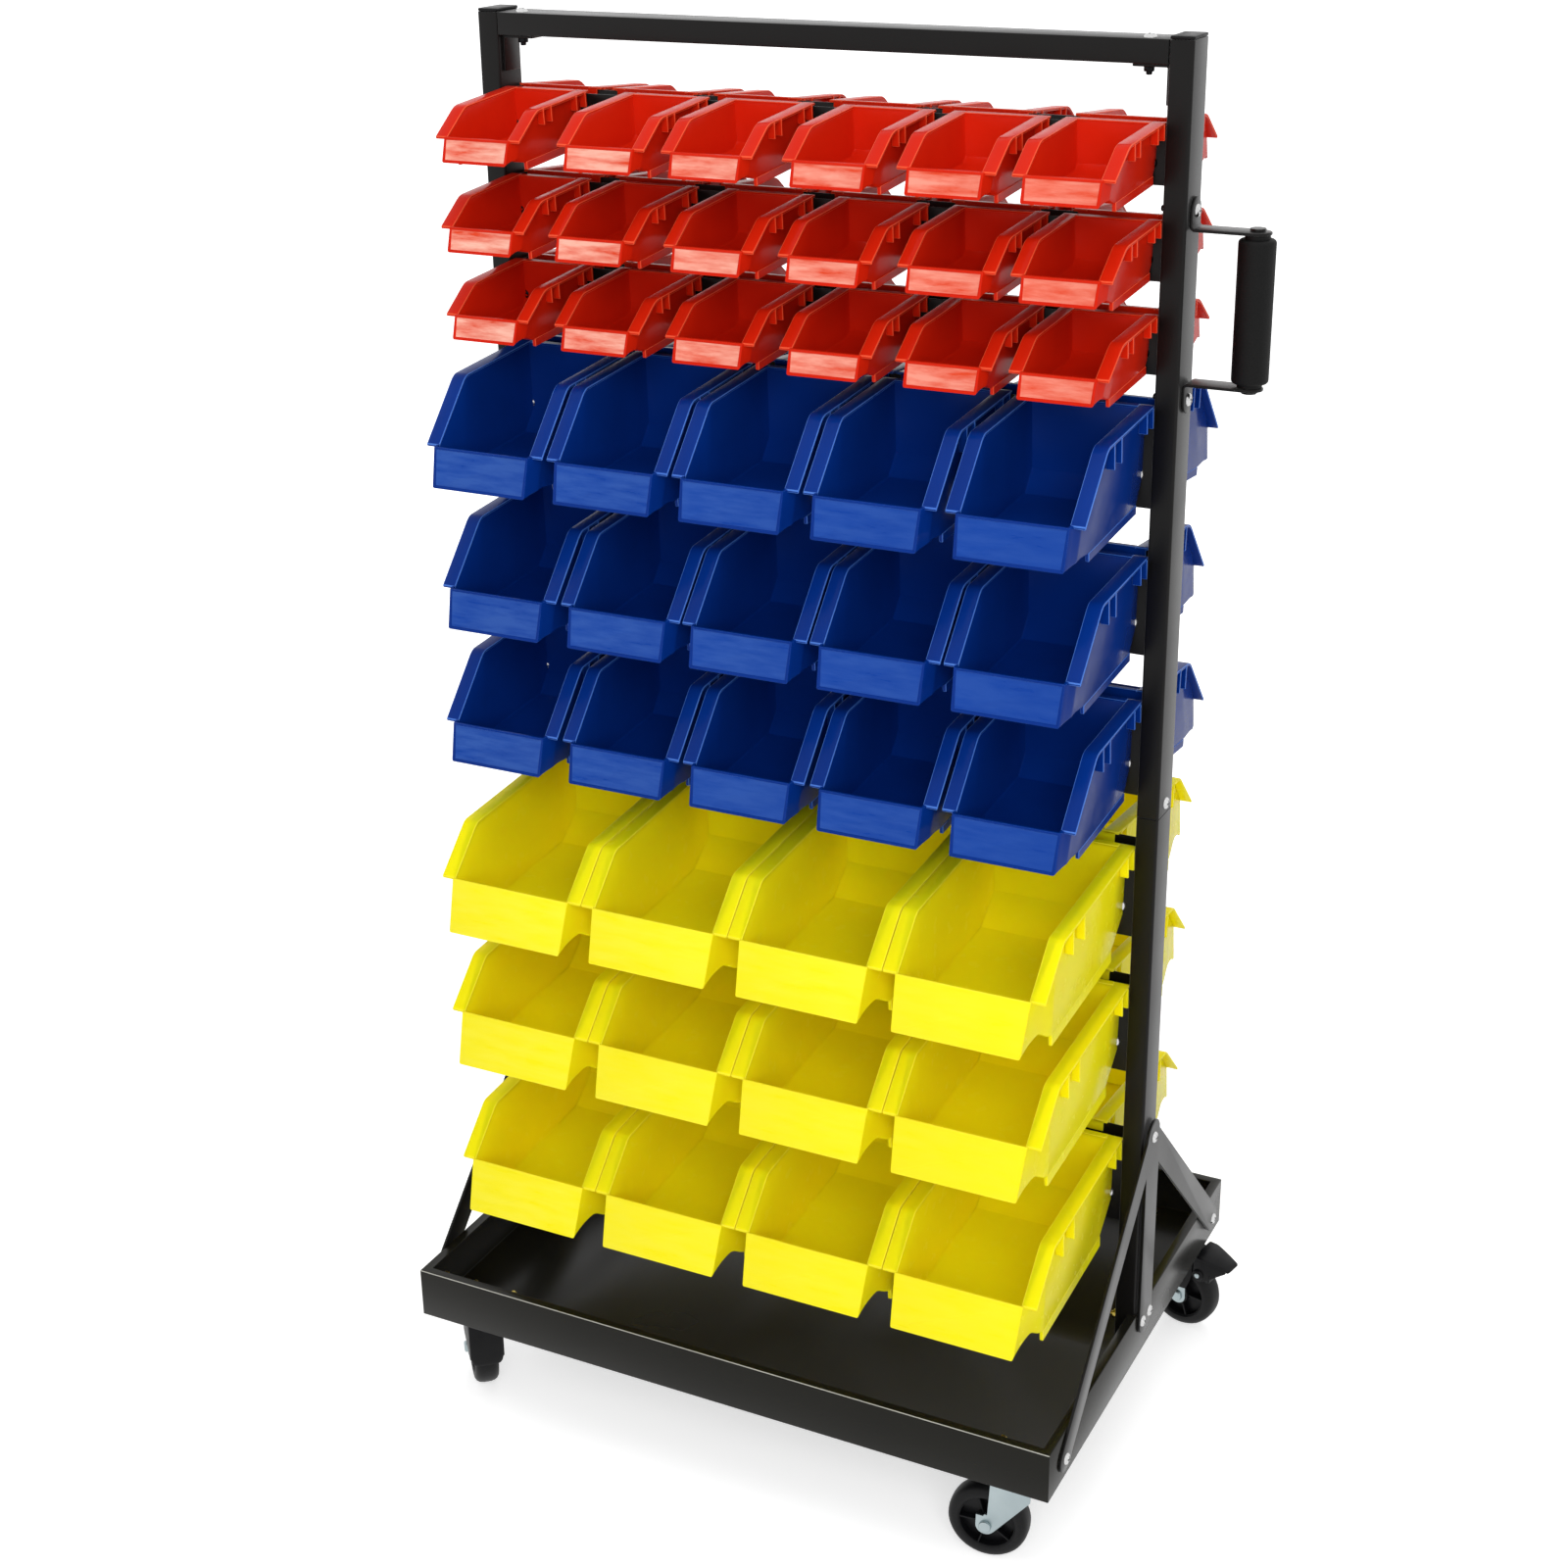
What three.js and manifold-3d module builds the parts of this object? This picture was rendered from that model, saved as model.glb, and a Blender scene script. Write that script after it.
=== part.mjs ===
// Mobile bin cart: two posts on a castered tray carry nine channels between them, and
// rows of open-fronted plastic bins hang on both long edges of every channel.
// Lengths are millimetres. X runs along the channels, -Y is the front, +Z is up.
// The model is built with the middle of the clear width at X = 0, and moved at the end
// so that its origin is the middle of its bounding box at floor level.
import * as THREE from 'three';
import { mergeVertices } from 'three/addons/utils/BufferGeometryUtils.js';
import Module from 'manifold-3d';

const wasm = await Module();
wasm.setup();

// Clearances and cuts
const gap = 0.3; // between two pieces that touch
const overrun = 5; // how far a cutting shape passes the faces that it cuts

// Posts, beam and their joints
const clearWidth = 610; // between the inner faces of the posts
const postWidth = 20;
const postDepth = 36;
const postWall = 1.5;
const frameTop = 1308; // floor to the top of the beam
const seamHeight = 658; // floor to the joint between lower and upper post
const sleeveLength = 180;
const sleeveWall = 1.5;
const beamHeight = 19;
const beamWall = 1.5;
const capThickness = 2.5;
const capSpigot = 14;
const capSpigotWall = 2;
const bracketLeg = 31;
const bracketWidth = 24;
const bracketSheet = 2.5;

// Tray
const trayDepth = 490;
const trayHeight = 50;
const traySheet = 1.5;
const trayFlange = 9;

// Gusset plates at the two sides
const gussetSheet = 2.5;
const gussetRise = 235; // underside of the tray to the top screw
const gussetReach = 210; // from the post's middle to the end screws
const gussetFoot = 24; // underside of the tray to the end screws
const gussetMid = 40; // underside of the tray to the two middle screws
const gussetMidSpread = 19; // between the two middle screws
const gussetLeg = 26;
const gussetPostLeg = 34;
const screwHeadRadius = 5;
const screwHeadHeight = 2.2;

// Channels that carry the bins
const railDepth = 28;
const railSheet = 1.5;
const smallRailHeight = 46;
const largeRailHeight = 84;
// Height of each row's rim at its back, as a share of the way from the tray's underside to
// the frame's top, so that the rows keep their places on a taller or lower frame.
const redHookShares = [0.94785, 0.88535, 0.82285];
const blueHookShares = [0.76159, 0.65522, 0.54884];
const yellowHookShares = [0.43626, 0.32368, 0.19288];

// Bins. Each size has its own mould. Its length runs forward from the channel's face and its
// height down from the rim. Names that end in Back run back from the front panel's foot, and
// lifts run up from the feet, so that they follow a longer or taller bin.
const binWall = 2;
const binHook = 2; // thickness of the hook over the channel's edge
const hookTongue = 11; // how far the hook reaches down inside the channel
const hangDegrees = 4.5; // nose-down lean of a hanging bin
const redBin = {
  name: 'red', length: 121, height: 47.5, rim: 83.5, flange: 10, panelHeight: 19.8,
  panelLift: 8.3, panelLean: 7.5, bendBack: 41, tipBack: 9, footBack: 29, footHeight: 6,
  notchReach: 17, notchDepth: 3, rearLift: 13.5, rearFoot: 9,
};
const blueBin = {
  name: 'blue', length: 173, height: 87.5, rim: 118, flange: 11.4, panelHeight: 33.9,
  panelLift: 6, panelLean: 10.7, bendBack: 67, tipBack: 16, footBack: 45, footHeight: 6.5,
  notchReach: 22, notchDepth: 3, rearLift: 25.5, rearFoot: 20,
};
const yellowBin = {
  name: 'yellow', length: 233.5, height: 98.5, rim: 145.6, flange: 12.4, panelHeight: 45.5,
  panelLift: 17, panelLean: 18.5, bendBack: 63.5, tipBack: 20.5, footBack: 55.5, footHeight: 10,
  notchReach: 26, notchDepth: 7, rearLift: 32.5, rearFoot: 36,
};

// Where each row's bins stand: the gap before each bin, as a share of the row's free width.
const redGapShares = [
  [0.015, 0.33, 0.14, 0.24, 0.145, 0.115],
  [0.01, 0.22, 0.25, 0.2, 0.2, 0.11],
  [0.005, 0.24, 0.225, 0.21, 0.185, 0.125],
];
const blueGapShares = [
  [0.03, 0.2, 0.19, 0.19, 0.35],
  [0.34, 0.25, 0.12, 0.12, 0.13],
  [0.03, 0.28, 0.2, 0.25, 0.2],
];
const yellowGapShares = [
  [0.88, 0.025, 0.025, 0.025],
  [0.88, 0.025, 0.025, 0.025],
  [0.88, 0.025, 0.025, 0.025],
];

// Push handle on the right post
const handleUpper = 1163; // floor to the middle of the upper arm
const handleLower = 1039; // floor to the middle of the lower arm
const handleReach = 53; // post's outer face to the grip's axis
const handleTabWidth = 22;
const handleSheet = 2.5;
const handleScrewRise = 14; // arm to its screw
const gripRadius = 15;
const gripEndRadius = 10;
const gripEnd = 5;
const handleRodRadius = 4;

// Casters
const casterHeight = 100; // floor to the underside of the tray
const casterInset = 44; // tray's side to the swivel axis
const casterInsetDepth = 37; // tray's front or back to the swivel axis
const casterTrail = 24;
const casterPlate = 60;
const casterPlateSheet = 2.5;
const swivelRadius = 20;
const swivelCup = 6;
const kingPinRadius = 5;
const crownSheet = 3;
const forkSheet = 2.5;
const forkLegTop = 34;
const forkEye = 9;
const wheelRadius = 37.5;
const wheelWidth = 24;
const hubRadius = 10;
const treadDepth = 11; // from the tread to the recess in the wheel's side
const wheelDish = 6;
const wheelShoulder = 4; // bevel between tread and side
const axleRadius = 4;
const axleHeadRadius = 6.5;
const axleHead = 2.5;
const wheelSideGap = 1.5; // between the wheel's hub and a fork leg
const wheelRibs = 5;
const wheelRibSheet = 1.6;
const roundSides = 20;
const screwSides = 10;

// Brake pedal, in the caster's own frame
const pedalPivotReach = 48; // swivel axis to the pedal's pivot
const pedalPivotHeight = 73;
const pedalPinRadius = 2.5;
const pedalCheek = 2.5;
const pedalLength = 84; // swivel axis to the pedal's tip
const pedalThickness = 5;
const pedalTopGap = 3; // between the pedal's top and the tray
const pedalDrop = 12; // from the pedal's root to its tip
const shoeGap = 3.5; // between the brake shoe and the tread
const shoeDegrees = 40; // place of the shoe on the tread, up from the horizontal
const shoeThickness = 5;

// Turned-out angle of each caster, seen from above, counted from +X.
const casters = [
  { name: 'front_left', side: -1, end: -1, degrees: 131, brake: true },
  { name: 'front_right', side: 1, end: -1, degrees: 186, brake: false },
  { name: 'rear_left', side: -1, end: 1, degrees: 160, brake: false },
  { name: 'rear_right', side: 1, end: 1, degrees: -12, brake: true },
];

// Sizes that follow from the ones above
const innerHalf = clearWidth / 2;
const outerHalf = innerHalf + postWidth;
const trayHalf = outerHalf + gap + traySheet;
const trayHalfDepth = trayDepth / 2;
const trayFloorTop = casterHeight + traySheet;
const trayTop = casterHeight + trayHeight;
const gussetInner = trayHalf + gap;
const gussetOuter = gussetInner + gussetSheet;
const railHalf = innerHalf - gap;
const tongueHalf = railHalf - railSheet - gap;
const hang = THREE.MathUtils.degToRad(hangDegrees);

// Finishes
const powderBlack = { color: 0x1a1917, roughness: 0.45, metalness: 0.35 };
const trayBlack = { color: 0x24231f, roughness: 0.5, metalness: 0.35 };
const plasticBlack = { color: 0x141414, roughness: 0.6, metalness: 0 };
const zincSteel = { color: 0xb4c3c3, roughness: 0.35, metalness: 0.9 };
const gripFoam = { color: 0x111111, roughness: 0.85, metalness: 0 };
const wheelBlack = { color: 0x1d1d1d, roughness: 0.7, metalness: 0 };
const binFinish = {
  red: { color: 0xe02a0c, roughness: 0.35, metalness: 0 },
  blue: { color: 0x123c9c, roughness: 0.35, metalness: 0 },
  yellow: { color: 0xf4e40a, roughness: 0.35, metalness: 0 },
};

// Solids are joined and cut in this form.
function toSolid(geometry) {
  const bare = geometry.clone();
  bare.deleteAttribute('normal');
  bare.deleteAttribute('uv');
  const merged = mergeVertices(bare);
  const vertProperties = new Float32Array(merged.attributes.position.array);
  const triVerts = new Uint32Array(merged.index.array);
  return new wasm.Manifold(new wasm.Mesh({ numProp: 3, vertProperties, triVerts }));
}

function toGeometry(solid) {
  const mesh = solid.getMesh();
  const geometry = new THREE.BufferGeometry();
  geometry.setAttribute('position', new THREE.BufferAttribute(new Float32Array(mesh.vertProperties), 3));
  geometry.setIndex(new THREE.BufferAttribute(new Uint32Array(mesh.triVerts), 1));
  const flat = geometry.toNonIndexed();
  flat.computeVertexNormals();
  return flat;
}

function join(...geometries) {
  const [first, ...rest] = geometries.map(toSolid);
  return toGeometry(rest.reduce((sum, solid) => sum.add(solid), first));
}

function cut(base, ...cutters) {
  return toGeometry(cutters.map(toSolid).reduce((rest, tool) => rest.subtract(tool), toSolid(base)));
}

// A box between two corners.
function block(x0, x1, y0, y1, z0, z1) {
  const box = new THREE.BoxGeometry(x1 - x0, y1 - y0, z1 - z0);
  return box.translate((x0 + x1) / 2, (y0 + y1) / 2, (z0 + z1) / 2);
}

// An outline of (y, z) points, carried along X.
function slab(points, x0, x1) {
  const shape = new THREE.Shape(points.map(([y, z]) => new THREE.Vector2(y, z)));
  const body = new THREE.ExtrudeGeometry(shape, { depth: x1 - x0, bevelEnabled: false });
  const turn = new THREE.Matrix4().makeBasis(
    new THREE.Vector3(0, 1, 0),
    new THREE.Vector3(0, 0, 1),
    new THREE.Vector3(1, 0, 0),
  );
  return body.applyMatrix4(turn).translate(x0, 0, 0);
}

// An outline of (x, y) points, carried up along Z.
function prism(points, z0, z1) {
  const shape = new THREE.Shape(points.map(([x, y]) => new THREE.Vector2(x, y)));
  const body = new THREE.ExtrudeGeometry(shape, { depth: z1 - z0, bevelEnabled: false });
  return body.translate(0, 0, z0);
}

// An outline of (x, z) points, carried along Y.
function plate(points, y0, y1) {
  const shape = new THREE.Shape(points.map(([x, z]) => new THREE.Vector2(x, z)));
  const body = new THREE.ExtrudeGeometry(shape, { depth: y1 - y0, bevelEnabled: false });
  return body.rotateX(Math.PI / 2).translate(0, y1, 0);
}

// Round bars along each axis.
function barZ(x, y, radius, z0, z1, sides = roundSides) {
  const bar = new THREE.CylinderGeometry(radius, radius, z1 - z0, sides);
  return bar.rotateX(Math.PI / 2).translate(x, y, (z0 + z1) / 2);
}

function barY(x, z, radius, y0, y1, sides = roundSides) {
  const bar = new THREE.CylinderGeometry(radius, radius, y1 - y0, sides);
  return bar.translate(x, (y0 + y1) / 2, z);
}

function barX(y, z, radius, x0, x1, sides = screwSides) {
  const bar = new THREE.CylinderGeometry(radius, radius, x1 - x0, sides);
  return bar.rotateZ(Math.PI / 2).translate((x0 + x1) / 2, y, z);
}

const cart = new THREE.Group();

function piece(name, geometry, finish, parent = cart) {
  const mesh = new THREE.Mesh(geometry, new THREE.MeshStandardMaterial(finish));
  mesh.name = name;
  parent.add(mesh);
  return mesh;
}

// A piece of the left side is the right one's mirror image, made by turning it about Z.
function turned(geometry) {
  return geometry.clone().rotateZ(Math.PI);
}

function tube(x0, x1, y0, y1, z0, z1, wall) {
  const outer = block(x0, x1, y0, y1, z0, z1);
  const bore = block(x0 + wall, x1 - wall, y0 + wall, y1 - wall, z0 - overrun, z1 + overrun);
  return cut(outer, bore);
}

// Posts: a lower and an upper length of tube on one inner sleeve.
function buildPost(side) {
  const x0 = side > 0 ? innerHalf : -outerHalf;
  const x1 = x0 + postWidth;
  const half = postDepth / 2;
  const label = side > 0 ? 'right' : 'left';
  const lower = tube(x0, x1, -half, half, casterHeight, seamHeight, postWall);
  const upper = tube(x0, x1, -half, half, seamHeight + gap, frameTop, postWall);
  piece(`post_${label}_lower`, lower, powderBlack);
  piece(`post_${label}_upper`, upper, powderBlack);
  const inset = postWall + gap;
  const sleeve = tube(
    x0 + inset, x1 - inset, -half + inset, half - inset,
    seamHeight - sleeveLength / 2, seamHeight + sleeveLength / 2, sleeveWall,
  );
  piece(`post_${label}_sleeve`, sleeve, zincSteel);
  const capBase = frameTop + gap;
  const cap = join(
    block(x0, x1, -half, half, capBase, capBase + capThickness),
    tube(x0 + inset, x1 - inset, -half + inset, half - inset,
      capBase - capSpigot, capBase + capThickness / 2, capSpigotWall),
  );
  piece(`post_${label}_cap`, cap, plasticBlack);
}
buildPost(-1);
buildPost(1);

// Beam: a tube on its side between the posts, on an angle bracket at each end.
const beamBottom = frameTop - beamHeight;
const beamOuter = block(-railHalf, railHalf, -postDepth / 2, postDepth / 2, beamBottom, frameTop);
const beamBore = block(
  -innerHalf, innerHalf, -postDepth / 2 + beamWall, postDepth / 2 - beamWall,
  beamBottom + beamWall, frameTop - beamWall,
);
piece('top_beam', cut(beamOuter, beamBore), powderBlack);

const bracketTop = beamBottom - gap;
const bracketRight = slab([
  [-bracketWidth / 2, bracketTop - bracketLeg], [bracketWidth / 2, bracketTop - bracketLeg],
  [bracketWidth / 2, bracketTop], [-bracketWidth / 2, bracketTop],
], railHalf - bracketLeg, railHalf);
const bracketHollow = block(
  railHalf - bracketLeg - overrun, railHalf - bracketSheet, -bracketWidth, bracketWidth,
  bracketTop - bracketLeg - overrun, bracketTop - bracketSheet,
);
const beamBracket = cut(bracketRight, bracketHollow);
piece('beam_bracket_right', beamBracket, powderBlack);
piece('beam_bracket_left', turned(beamBracket), powderBlack);

// Tray: a folded sheet with an inward flange, notched where the posts stand. The posts' feet
// stand in cutouts of its floor.
function buildTray() {
  const outer = block(-trayHalf, trayHalf, -trayHalfDepth, trayHalfDepth, casterHeight, trayTop);
  const wellX = trayHalf - traySheet;
  const wellY = trayHalfDepth - traySheet;
  const well = block(-wellX, wellX, -wellY, wellY, trayFloorTop, trayTop - traySheet);
  const mouth = block(
    -trayHalf + trayFlange, trayHalf - trayFlange, -trayHalfDepth + trayFlange,
    trayHalfDepth - trayFlange, trayFloorTop + overrun, trayTop + overrun,
  );
  const notchY = postDepth / 2 + gap;
  const notch = block(-wellX, wellX, -notchY, notchY, trayFloorTop + overrun, trayTop + overrun);
  const footHole = block(
    innerHalf - gap, wellX, -notchY, notchY, casterHeight - overrun, trayFloorTop + overrun,
  );
  return cut(outer, well, mouth, notch, footHole, turned(footHole));
}
piece('tray', buildTray(), trayBlack);

// Gusset plate: a post leg and two slanted legs that meet at the top screw.
function strapOutline(y0, z0, y1, z1, width) {
  const along = new THREE.Vector2(y1 - y0, z1 - z0).normalize().multiplyScalar(width / 2);
  const across = new THREE.Vector2(-along.y, along.x);
  const cornerShare = 0.45;
  const ends = [[y0, z0, -1], [y1, z1, 1]];
  return ends.flatMap(([y, z, sign]) => {
    const tipY = y + sign * along.x;
    const tipZ = z + sign * along.y;
    const sideY = y + sign * along.x * (1 - cornerShare);
    const sideZ = z + sign * along.y * (1 - cornerShare);
    return [
      [sideY + sign * across.x, sideZ + sign * across.y],
      [tipY + sign * across.x * cornerShare, tipZ + sign * across.y * cornerShare],
      [tipY - sign * across.x * cornerShare, tipZ - sign * across.y * cornerShare],
      [sideY - sign * across.x, sideZ - sign * across.y],
    ];
  }).reverse();
}

function buildGusset() {
  const apex = casterHeight + gussetRise;
  const foot = casterHeight + gussetFoot;
  const middle = casterHeight + gussetMid;
  const legs = [
    strapOutline(0, middle, 0, apex, gussetPostLeg),
    strapOutline(-gussetReach, foot, 0, apex, gussetLeg),
    strapOutline(gussetReach, foot, 0, apex, gussetLeg),
  ];
  const screws = [
    [0, apex], [-gussetReach, foot], [gussetReach, foot],
    [-gussetMidSpread / 2, middle], [gussetMidSpread / 2, middle],
  ];
  const headEnd = gussetOuter + screwHeadHeight;
  return join(
    ...legs.map((outline) => slab(outline, gussetInner, gussetOuter)),
    ...screws.map(([y, z]) => barX(y, z, screwHeadRadius, gussetOuter - gap, headEnd)),
  );
}
const gusset = buildGusset();
piece('gusset_right', gusset, powderBlack);
piece('gusset_left', turned(gusset), powderBlack);

// Channel: open upwards, closed by an end plate at each post.
function buildRail(hookHeight, height) {
  const top = hookHeight - binHook - gap;
  const half = railDepth / 2;
  const outer = block(-railHalf, railHalf, -half, half, top - height, top);
  const hollow = block(
    -railHalf + railSheet, railHalf - railSheet, -half + railSheet, half - railSheet,
    top - height + railSheet, top + overrun,
  );
  return cut(outer, hollow);
}

// One bin, with its rim's back edge at y = -railDepth / 2 - gap and z = 0, its nose to -Y.
// hung turns a length and a drop of the mould into a place on the hanging bin.
function hung(length, rise) {
  const forward = length * Math.cos(hang) + rise * Math.sin(hang);
  const up = rise * Math.cos(hang) - length * Math.sin(hang);
  return [-railDepth / 2 - gap - forward, up];
}

function backWall(rise, inset) {
  return -rise * Math.tan(hang) + inset;
}

function buildBin(bin) {
  const half = bin.rim / 2 - bin.flange + binWall;
  const belly = -bin.height + bin.footHeight;
  const panelBottom = -bin.height + bin.panelLift;
  const panelTop = panelBottom + bin.panelHeight;
  const backBottom = -bin.height + bin.rearLift;
  const noseTop = bin.length - bin.panelLean;
  const bend = bin.length - bin.bendBack;
  const tip = bin.length - bin.tipBack;
  const foot = bin.length - bin.footBack;
  const notch = foot + bin.notchReach;
  const notchRise = panelBottom + bin.notchDepth;
  const sunk = binWall / 2; // how deep the walls and the rim strip reach into each other
  const outline = [
    hung(backWall(-sunk, 0), -sunk), hung(bend, -sunk), hung(tip - sunk, panelTop),
    hung(noseTop, panelTop), hung(bin.length, panelBottom), hung(notch, notchRise),
    hung(foot + bin.footHeight / 2, -bin.height), hung(bin.rearFoot, -bin.height),
    hung(backWall(backBottom, 0), backBottom),
  ];
  // The front panel leans back; its inner face runs up past the rim to open the front.
  const slope = bin.panelLean / bin.panelHeight;
  const innerTop = noseTop - binWall - slope * (overrun - panelTop);
  const cavity = [
    hung(backWall(overrun, binWall), overrun), hung(innerTop, overrun),
    hung(bin.length - binWall - slope * binWall, panelBottom + binWall),
    hung(notch - binWall, notchRise + binWall), hung(foot - binWall, belly + binWall),
    hung(bin.rearFoot + binWall, belly + binWall), hung(backWall(backBottom, binWall), backBottom),
  ];
  // The rim is one strip: the hook over the channel's edge, the flange along each side and
  // its steep end beside the front panel.
  const hookBack = -railDepth / 2 + railSheet + gap + binHook;
  const strip = [
    [hookBack, 0], [hookBack, -binHook], hung(0, -binHook), hung(bend - sunk, -binWall),
    hung(tip - binWall, panelTop - sunk), hung(tip, panelTop - sunk), hung(tip, panelTop),
    hung(bend, 0), hung(0, 0),
  ];
  const shell = join(slab(outline, -half, half), slab(strip, -bin.rim / 2, bin.rim / 2));
  return cut(shell, slab(cavity, -half + binWall, half - binWall));
}

// A row: its bins stand side by side, and the tongues of their hooks are one strip inside
// the channel, where it doesn't show.
function rowPlaces(bin, gapShares) {
  const count = Math.min(gapShares.length, Math.floor(clearWidth / bin.rim));
  const free = clearWidth - count * bin.rim;
  const places = [];
  let edge = -innerHalf;
  for (let i = 0; i < count; i += 1) {
    edge += free * gapShares[i];
    places.push(edge + bin.rim / 2);
    edge += bin.rim;
  }
  return places;
}

function buildRow(binGeometry, bin, hookHeight, gapShares) {
  const places = rowPlaces(bin, gapShares);
  const tongueFront = -railDepth / 2 + railSheet + gap;
  const left = Math.max(places[0] - bin.rim / 2, -tongueHalf);
  const right = Math.min(places[places.length - 1] + bin.rim / 2, tongueHalf);
  const tongue = block(left, right, tongueFront, tongueFront + binHook, -hookTongue, -binHook / 2);
  const row = join(tongue, ...places.map((x) => binGeometry.clone().translate(x, 0, 0)));
  return row.translate(0, 0, hookHeight);
}

const levels = [
  { bin: redBin, rail: smallRailHeight, shares: redGapShares, hooks: redHookShares },
  { bin: blueBin, rail: largeRailHeight, shares: blueGapShares, hooks: blueHookShares },
  { bin: yellowBin, rail: largeRailHeight, shares: yellowGapShares, hooks: yellowHookShares },
];
for (const level of levels) {
  const binGeometry = buildBin(level.bin);
  level.hooks.forEach((share, i) => {
    const hookHeight = casterHeight + share * (frameTop - casterHeight);
    const label = `${level.bin.name}_${i + 1}`;
    piece(`rail_${label}`, buildRail(hookHeight, level.rail), powderBlack);
    const row = buildRow(binGeometry, level.bin, hookHeight, level.shares[i]);
    piece(`bins_${label}_front`, row, binFinish[level.bin.name]);
    piece(`bins_${label}_rear`, turned(row), binFinish[level.bin.name]);
  });
}

// Push handle: two bent straps on the right post, a rod between them and a turning grip.
const handleFace = outerHalf + gap;
const gripX = outerHalf + handleReach;
function buildHandleArm(armHeight, direction) {
  const tabEnd = armHeight + direction * (handleScrewRise + handleTabWidth / 2);
  const half = handleTabWidth / 2;
  const zLow = Math.min(armHeight - (direction * handleSheet) / 2, tabEnd);
  const zHigh = Math.max(armHeight - (direction * handleSheet) / 2, tabEnd);
  const cornerShare = 0.4;
  const inner = half * (1 - cornerShare);
  const shoulder = tabEnd - direction * half * cornerShare;
  const root = direction > 0 ? zLow : zHigh;
  const tabOutline = [
    [-half, root], [half, root], [half, shoulder], [inner, tabEnd], [-inner, tabEnd],
    [-half, shoulder],
  ];
  const tab = slab(direction > 0 ? tabOutline : tabOutline.reverse(), handleFace, handleFace + handleSheet);
  const armEnd = gripX + half;
  const arm = prism([
    [handleFace, -half], [gripX + inner, -half], [armEnd, -inner], [armEnd, inner],
    [gripX + inner, half], [handleFace, half],
  ], armHeight - handleSheet / 2, armHeight + handleSheet / 2);
  const screwZ = armHeight + direction * handleScrewRise;
  const screw = barX(
    0, screwZ, screwHeadRadius, handleFace + handleSheet - gap,
    handleFace + handleSheet + screwHeadHeight,
  );
  const rodHole = barZ(
    gripX, 0, handleRodRadius + gap, armHeight - handleSheet - overrun,
    armHeight + handleSheet + overrun,
  );
  return cut(join(tab, arm, screw), rodHole);
}
piece('handle_arm_upper', buildHandleArm(handleUpper, 1), powderBlack);
piece('handle_arm_lower', buildHandleArm(handleLower, -1), powderBlack);

const armHalf = handleSheet / 2;
const rod = join(
  barZ(gripX, 0, handleRodRadius, handleLower - armHalf - gap, handleUpper + armHalf + gap),
  barZ(gripX, 0, handleRodRadius * 1.6, handleUpper + armHalf + gap,
    handleUpper + armHalf + gap + screwHeadHeight, screwSides),
  barZ(gripX, 0, handleRodRadius * 1.6, handleLower - armHalf - gap - screwHeadHeight,
    handleLower - armHalf - gap, screwSides),
);
piece('handle_rod', rod, zincSteel);

const gripLow = handleLower + armHalf + gap;
const gripHigh = handleUpper - armHalf - gap;
const gripBore = handleRodRadius + gap;
const gripProfile = [
  [gripBore, gripLow], [gripEndRadius, gripLow], [gripEndRadius, gripLow + gripEnd / 2],
  [gripRadius, gripLow + gripEnd], [gripRadius, gripHigh - gripEnd],
  [gripEndRadius, gripHigh - gripEnd / 2], [gripEndRadius, gripHigh], [gripBore, gripHigh],
  [gripBore, gripLow],
].map(([r, z]) => new THREE.Vector2(r, z));
const grip = new THREE.LatheGeometry(gripProfile, roundSides);
piece('handle_grip', grip.rotateX(Math.PI / 2).translate(gripX, 0, 0), gripFoam);

// Caster parts stand in their own frame: the swivel axis is Z, and the wheel trails to +X.
const cupTop = casterHeight - gap;
const plateBottom = cupTop - casterPlateSheet;
const cupBottom = plateBottom - swivelCup;
const crownTop = cupBottom - gap;
const crownBottom = crownTop - crownSheet;
const legInner = wheelWidth / 2 + wheelSideGap;
const legOuter = legInner + forkSheet;

function buildMount() {
  const half = casterPlate / 2;
  return join(
    block(-half, half, -half, half, plateBottom, cupTop),
    barZ(0, 0, swivelRadius, cupBottom, plateBottom + gap),
    barZ(0, 0, kingPinRadius, crownBottom - screwHeadHeight, cupBottom + gap),
  );
}

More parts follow.
